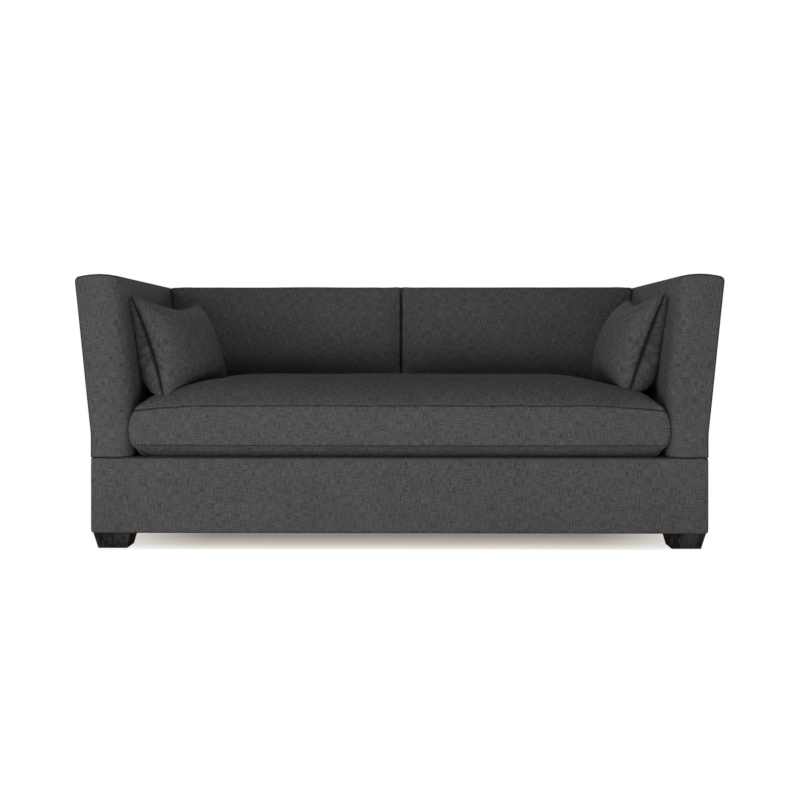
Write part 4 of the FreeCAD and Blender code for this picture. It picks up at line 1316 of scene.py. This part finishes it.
def timber_finish(name, axis, dark, light, pores, rough):
    """Planed wood with its grain along one axis: 0 is X, 1 is Y, 2 is Z."""
    finish = Finish(name)
    place = finish.place()
    across = [part * (14.0 if number == axis else 160.0) for number, part in enumerate(place)]
    wide = [part * (1.6 if number == axis else 24.0) for number, part in enumerate(place)]
    streaks = finish.noise(across, 3.0, 0.6)
    rings = finish.noise(wide, 2.0, 0.5)
    grain = (0.55 * streaks + 0.45 * rings).ramp(0.36, 0.64)
    fine = finish.noise([part * 3.0 for part in across], 2.0, 0.7).ramp(0.55, 0.75)
    wood = finish.mix(grain, linear(dark), linear(light))
    finish.surface(Base_Color=finish.mix(pores * fine, wood, linear(dark)), Roughness=rough + 0.14 * grain,
                   Specular_IOR_Level=0.05, Normal=finish.bump(grain - 0.6 * fine, 0.0003, 0.5))
    return finish.material


def steel_finish(name):
    """Zinc-plated steel with a slightly cloudy sheen."""
    finish = Finish(name)
    place = finish.place()
    cloud = finish.noise([part * 45.0 for part in place], 3.0, 0.6)
    spangle = finish.noise([part * 260.0 for part in place], 1.0, 0.5)
    plating = finish.mix(cloud, linear((0.56, 0.57, 0.58)), linear((0.74, 0.74, 0.73)))
    finish.surface(Base_Color=plating, Roughness=0.28 + 0.22 * cloud, Metallic=1.0,
                   Normal=finish.bump(spangle, 0.0001, 0.4))
    return finish.material


def plain_cloth_finish(name, dark, light, pitch):
    """Plain cloth of the hidden sides: an even weave with little relief, its colour darker in the gaps
    between threads as painted shade.
    """
    finish = Finish(name)
    weft, warp = finish.threads()
    rows = abs((weft * (math.pi / pitch)).sine())
    lines = abs((warp * (math.pi / pitch)).sine())
    fuzz = finish.noise((weft * 700.0, warp * 700.0), 2.0, 0.6)
    cloud = finish.noise((weft * 9.0, warp * 9.0), 3.0, 0.55)
    weave = 0.5 * rows + 0.5 * lines
    # The weave part of this tone is painted shade in the gaps between threads; fuzz and cloud are the cloth's
    # own tone
    shade = (0.35 * weave + 0.35 * fuzz + 0.3 * cloud).ramp(0.2, 0.8)
    finish.surface(Base_Color=finish.mix(shade, linear(dark), linear(light)), Roughness=0.92 + 0.06 * fuzz,
                   Specular_IOR_Level=0.1, Normal=finish.bump(weave + 0.4 * fuzz, 0.0004, 0.6))
    return finish.material


def strap_finish(name):
    """Elastic webbing with two lighter bands along its length."""
    finish = Finish(name)
    weft, warp = finish.threads()
    ribs = abs((warp * (math.pi / 0.0024)).sine())
    bands = (abs(weft) - 0.016).band(0.005)
    fuzz = finish.noise((weft * 600.0, warp * 600.0), 2.0, 0.6)
    cloth = finish.mix(bands, linear((0.17, 0.16, 0.15)), linear((0.62, 0.57, 0.48)))
    finish.surface(Base_Color=finish.mix(0.35 * fuzz * ribs, cloth, linear((0.08, 0.08, 0.08))),
                   Roughness=0.9, Specular_IOR_Level=0.15, Normal=finish.bump(ribs, 0.0005, 0.7))
    return finish.material


STEEL_NODES = ("foot_bolts", "foot_plates", "seat_springs", "spring_clips", "tie_wires")


def frame_finish(node, obj):
    """Material of a rigid frame piece, by its name and the axis along which it is longest."""
    if node in STEEL_NODES:
        return material("plated_steel", steel_finish)
    if node.startswith("foot_"):
        return material("stained_wood", timber_finish, 2, *STAINED)
    axis = int(np.argmax(obj.dimensions))
    return material("frame_timber_" + "xyz"[axis], timber_finish, axis, *PLANED)


def finish_frame():
    """Gives every rigid CAD piece that shows, or can show in a pose, its material."""
    for node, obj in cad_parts.items():
        if obj.hide_render:
            continue
        obj.data.materials.clear()
        obj.data.materials.append(frame_finish(node, obj))


def flat_sheet(name, low, high, height, finish, node, holes=()):
    """Stretched cloth between two corners, with square holes given by their middles and half widths."""
    xs, ys = (np.linspace(low[n], high[n], int((high[n] - low[n]) / 0.03) + 2) for n in range(2))
    for hole_x, hole_y, half in holes:
        xs = np.union1d(xs, [hole_x - half, hole_x + half])
        ys = np.union1d(ys, [hole_y - half, hole_y + half])
    x, y = np.meshgrid(xs, ys)
    grid = np.stack([x, y, height(x, y)], axis=-1)
    middle_x, middle_y = (x[1:, 1:] + x[:-1, :-1]) / 2, (y[1:, 1:] + y[:-1, :-1]) / 2
    keep = np.ones(middle_x.shape, dtype=bool)
    for hole_x, hole_y, half in holes:
        keep &= ~((abs(middle_x - hole_x) < half) & (abs(middle_y - hole_y) < half))
    away = np.minimum(np.minimum(x - low[0], high[0] - x), np.minimum(y - low[1], high[1] - y))
    cover = Cover(name)
    cover.panel(grid, grid[..., :2], away + 0.004, keep)
    obj = cover.sewn()
    dress(obj, finish, "sofa", [node])


def frame_cloths():
    """Deck cloth under the cushion and dust cloth under the frame."""
    deck = plain_cloth_finish("deck_weave", (0.150, 0.145, 0.147), (0.235, 0.228, 0.230), 0.0012)
    dust = plain_cloth_finish("dust_weave", (0.060, 0.060, 0.062), (0.115, 0.114, 0.116), 0.0018)
    low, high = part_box("dust_cover")
    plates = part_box("foot_plates")
    holes = [(x, y, FOOT_HOLE) for x in (plates[0].x + PLATE_HALF, plates[1].x - PLATE_HALF)
             for y in (plates[0].y + PLATE_HALF, plates[1].y - PLATE_HALF)]

    def deck_height(x, _):
        return np.full_like(x, SEAM + 0.0003)

    def dust_height(x, y):
        inside = smooth_step(high[0] - abs(x), 0.0, 0.12) * smooth_step(high[1] - abs(y), 0.0, 0.12)
        points = np.stack([x, y, np.zeros_like(x)], axis=-1)
        return BASE_BOTTOM + 0.0006 - 0.0030 * inside * (0.6 + 0.4 * waves(points, 0.3, 72))

    flat_sheet("deck_cloth", (-DECK_HALF, FRONT + DECK_FRONT_GAP), (DECK_HALF, DECK[1].y), deck_height, deck,
               "seat_deck")
    flat_sheet("dust_cloth", low[:2], high[:2], dust_height, dust, "dust_cover",
               holes)


def islands(obj):
    """Boxes of the separate solids of a mesh."""
    mesh = obj.data
    parent = list(range(len(mesh.vertices)))

    def root(number):
        while parent[number] != number:
            parent[number] = parent[parent[number]]
            number = parent[number]
        return number

    places = {}
    for vertex in mesh.vertices:
        key = tuple(round(part, 5) for part in vertex.co)
        parent[vertex.index] = root(places.setdefault(key, vertex.index))
    for edge in mesh.edges:
        parent[root(edge.vertices[0])] = root(edge.vertices[1])
    groups = {}
    for vertex in mesh.vertices:
        groups.setdefault(root(vertex.index), []).append(vertex.co)
    return [(np.min(points, axis=0), np.max(points, axis=0)) for points in map(np.array, groups.values())]


def back_straps():
    """Elastic straps across the back frame, each in the place of its CAD strap."""
    cover = Cover("back_straps")
    total = 0.0
    for low, high in islands(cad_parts["back_webbing"]):
        size = high - low
        long_way, thin_way = int(np.argmax(size)), int(np.argmin(size))
        wide_way = 3 - long_way - thin_way
        along = np.linspace(low[long_way], high[long_way], int(size[long_way] / 0.02) + 2)
        across = np.linspace(low[wide_way], high[wide_way], 5)
        grid = np.zeros((len(along), len(across), 3))
        grid[..., long_way] = along[:, None]
        grid[..., wide_way] = across[None]
        grid[..., thin_way] = (low[thin_way] + high[thin_way]) / 2
        threads = np.stack([grid[..., wide_way] - across.mean(), grid[..., long_way]], axis=-1)
        cover.panel(grid, threads)
        total += size[long_way]
    obj = cover.sewn()
    dress(obj, strap_finish("elastic_webbing"), "sofa", ["back_webbing"])


# Studio

def floor_finish(stage):
    """Pale floor, plain white round about the sofa; under it a painted shadow, fading in from the sofa's
    outline, lets the lit floor show through and tints it warm.
    """
    finish = Finish("studio_floor")
    seen = Value(finish, finish.node("ShaderNodeLightPath").outputs["Is Camera Ray"])
    # For the camera the floor's own colour is a warm painted shadow tint, which shows only where the painted
    # shadow lets it through
    finish.surface(Base_Color=finish.mix(seen, (0.80, 0.79, 0.78), (0.86, 0.70, 0.60)), Roughness=0.9,
                   Specular_IOR_Level=0.0)
    x, y, _ = finish.place()
    # Painted shadow: shade is strongest inside the sofa's outline and fades to nothing at its outline, over
    # the shadow depth
    across = ((HALF_BASE - abs(x)) / (1.25 * stage.shadow)).clipped().power(0.5)
    deep = ((0.004 - FRONT - abs(y)) / stage.shadow).clipped().power(0.5)
    shade = 0.74 * across * deep
    painted_shadow_tint = finish.mix(shade, (1.0, 1.0, 1.0), (1.0, 0.85, 0.73))
    white = finish.node("ShaderNodeEmission", {}, {"Color": painted_shadow_tint, "Strength": 1.0})
    finish.blend(seen * (1.0 - shade), finish.shader.outputs[0], white.outputs[0])
    return finish.material


def studio_world(stage):
    """Even light, and plain white where the camera looks past the floor."""
    world = bpy.data.worlds.new("studio")
    nodes = Nodes(world)
    light = nodes.tree.nodes["Background"]
    nodes.put(light.inputs["Color"], (0.98, 0.99, 1.0))
    nodes.put(light.inputs["Strength"], stage.fill)
    white = nodes.node("ShaderNodeBackground", {}, {"Color": (1.0, 1.0, 1.0), "Strength": 1.0})
    rays = nodes.node("ShaderNodeLightPath").outputs
    direct = Value(nodes, rays["Is Camera Ray"]) + Value(nodes, rays["Is Glossy Ray"])
    seen = nodes.node("ShaderNodeMath", {"operation": "ADD", "use_clamp": True},
                      {0: direct, 1: rays["Is Transmission Ray"]})
    nodes.blend(seen.outputs[0], light.outputs[0], white.outputs[0])
    bpy.context.scene.world = world


# Of each lamp: its name, the setting of its power, its place, what it is aimed at, and its size
LAMPS = (
    ("front_lamp", "front", (-0.6, -4.2, 2.6), (0.0, 0.0, 0.4), (4.0, 2.0)),
    ("left_lamp", "left", (-3.2, -2.8, 1.2), (0.0, 0.0, 0.4), (2.0, 2.0)),
    ("rear_lamp", "rear", (0.0, 3.6, 1.4), (0.0, 0.45, 0.4), (4.0, 2.0)),
    ("side_lamp", "side", (-3.6, 1.0, 1.1), (-0.85, 0.2, 0.4), (2.0, 1.5)),
    ("side_lamp", "side", (3.6, 1.0, 1.1), (0.85, 0.2, 0.4), (2.0, 1.5)),
    ("top_lamp", "top", (0.0, -0.9, 3.2), (0.0, -0.1, 0.4), (3.0, 1.2)),
    ("floor_glow", "floor", (0.0, -2.3, 0.012), (0.0, -2.2, 1.0), (5.0, 2.6)),
    ("near_glow", "near", (0.0, -1.3, 0.10), (0.0, 0.0, 0.10), (4.4, 0.2)),
    ("low_glow", "low", (0.0, -2.2, 0.20), (0.0, 0.0, 0.20), (5.0, 0.4)),
)


def lamp(name, place, target, size, watts):
    data = bpy.data.lights.new(name, "AREA")
    data.shape = "RECTANGLE"
    data.size, data.size_y = size
    data.energy = watts
    obj = new_object(name, data)
    obj.location = place
    obj.rotation_euler = (Vector(target) - Vector(place)).to_track_quat("-Z", "Y").to_euler()
    obj.visible_camera = False


def camera(stage):
    data = bpy.data.cameras.new("photo_view")
    data.lens = stage.lens
    data.sensor_width = 36.0
    data.shift_y = stage.rise
    obj = new_object("photo_view", data)
    obj.location = (stage.eye_side, -stage.eye_distance, stage.eye_height)
    obj.rotation_euler = (math.pi / 2, 0.0, stage.eye_turn)
    bpy.context.scene.camera = obj


def floor(stage):
    mesh = bpy.data.meshes.new("floor")
    work = bmesh.new()
    bmesh.ops.create_grid(work, x_segments=1, y_segments=1, size=30.0)
    work.to_mesh(mesh)
    work.free()
    mesh.materials.append(floor_finish(stage))
    new_object("floor", mesh)


# Operators

class LOVESEAT_OT_base(bpy.types.Operator):
    """Sew the cloth round the base"""

    bl_idname = "loveseat.base"
    bl_label = "Base covers"

    def execute(self, context):
        base_covers()
        return {"FINISHED"}


class LOVESEAT_OT_arms(bpy.types.Operator):
    """Sew the padded covers of both arms"""

    bl_idname = "loveseat.arms"
    bl_label = "Arm covers"

    def execute(self, context):
        for name, side in SIDES:
            arm_cover(side, name)
        return {"FINISHED"}


class LOVESEAT_OT_back(bpy.types.Operator):
    """Sew the inside and outside back"""

    bl_idname = "loveseat.back"
    bl_label = "Back covers"

    def execute(self, context):
        inside_back()
        outside_back()
        return {"FINISHED"}


class LOVESEAT_OT_seat(bpy.types.Operator):
    """Sew and fill the bench seat cushion"""

    bl_idname = "loveseat.seat"
    bl_label = "Seat cushion"

    def execute(self, context):
        seat_cushion()
        return {"FINISHED"}


class LOVESEAT_OT_back_cushions(bpy.types.Operator):
    """Sew and fill the two back cushions"""

    bl_idname = "loveseat.back_cushions"
    bl_label = "Back cushions"

    def execute(self, context):
        for name, side in SIDES:
            back_cushion(side, name)
        return {"FINISHED"}


class LOVESEAT_OT_pillows(bpy.types.Operator):
    """Sew and fill the two throw pillows"""

    bl_idname = "loveseat.pillows"
    bl_label = "Throw pillows"

    def execute(self, context):
        for name, side in SIDES:
            pillow(side, name)
        return {"FINISHED"}


class LOVESEAT_OT_frame(bpy.types.Operator):
    """Finish the wood and steel, and stretch the deck, dust and back cloths"""

    bl_idname = "loveseat.frame"
    bl_label = "Frame and feet"

    def execute(self, context):
        frame_cloths()
        back_straps()
        finish_frame()
        return {"FINISHED"}


class LOVESEAT_OT_stage(bpy.types.Operator):
    """Set up the floor, the lamps and the camera"""

    bl_idname = "loveseat.stage"
    bl_label = "Studio"

    def execute(self, context):
        stage = context.scene.loveseat_stage
        floor(stage)
        studio_world(stage)
        camera(stage)
        for name, setting, place, target, size in LAMPS:
            lamp(name, place, target, size, getattr(stage, setting))
        context.scene.view_settings.view_transform = "Standard"
        return {"FINISHED"}


MAKERS = [LOVESEAT_OT_base, LOVESEAT_OT_arms, LOVESEAT_OT_back, LOVESEAT_OT_seat, LOVESEAT_OT_back_cushions,
          LOVESEAT_OT_pillows, LOVESEAT_OT_frame, LOVESEAT_OT_stage]
SETTINGS = {"loveseat_shape": LoveseatShape, "loveseat_cloth": LoveseatCloth, "loveseat_stage": LoveseatStage}


class LOVESEAT_PT_panel(bpy.types.Panel):
    """Settings and makers of the sofa"""

    bl_idname = "LOVESEAT_PT_panel"
    bl_label = "Loveseat"
    bl_space_type = "VIEW_3D"
    bl_region_type = "UI"
    bl_category = "Loveseat"

    def draw(self, context):
        for maker in MAKERS:
            self.layout.operator(maker.bl_idname)
        for name in SETTINGS:
            box = self.layout.box()
            settings = getattr(context.scene, name)
            for field in settings.bl_rna.properties:
                if not field.is_readonly and field.identifier != "name":
                    box.prop(settings, field.identifier)


def register():
    for kind in (*SETTINGS.values(), *MAKERS, LOVESEAT_PT_panel):
        bpy.utils.register_class(kind)
    for name, kind in SETTINGS.items():
        setattr(bpy.types.Scene, name, bpy.props.PointerProperty(type=kind))


def unregister():
    for name in SETTINGS:
        delattr(bpy.types.Scene, name)
    for kind in reversed((*SETTINGS.values(), *MAKERS, LOVESEAT_PT_panel)):
        bpy.utils.unregister_class(kind)


def main():
    register()
    for maker in MAKERS:
        family, name = maker.bl_idname.split(".")
        getattr(getattr(bpy.ops, family), name)()


if __name__ == "__main__":
    main()
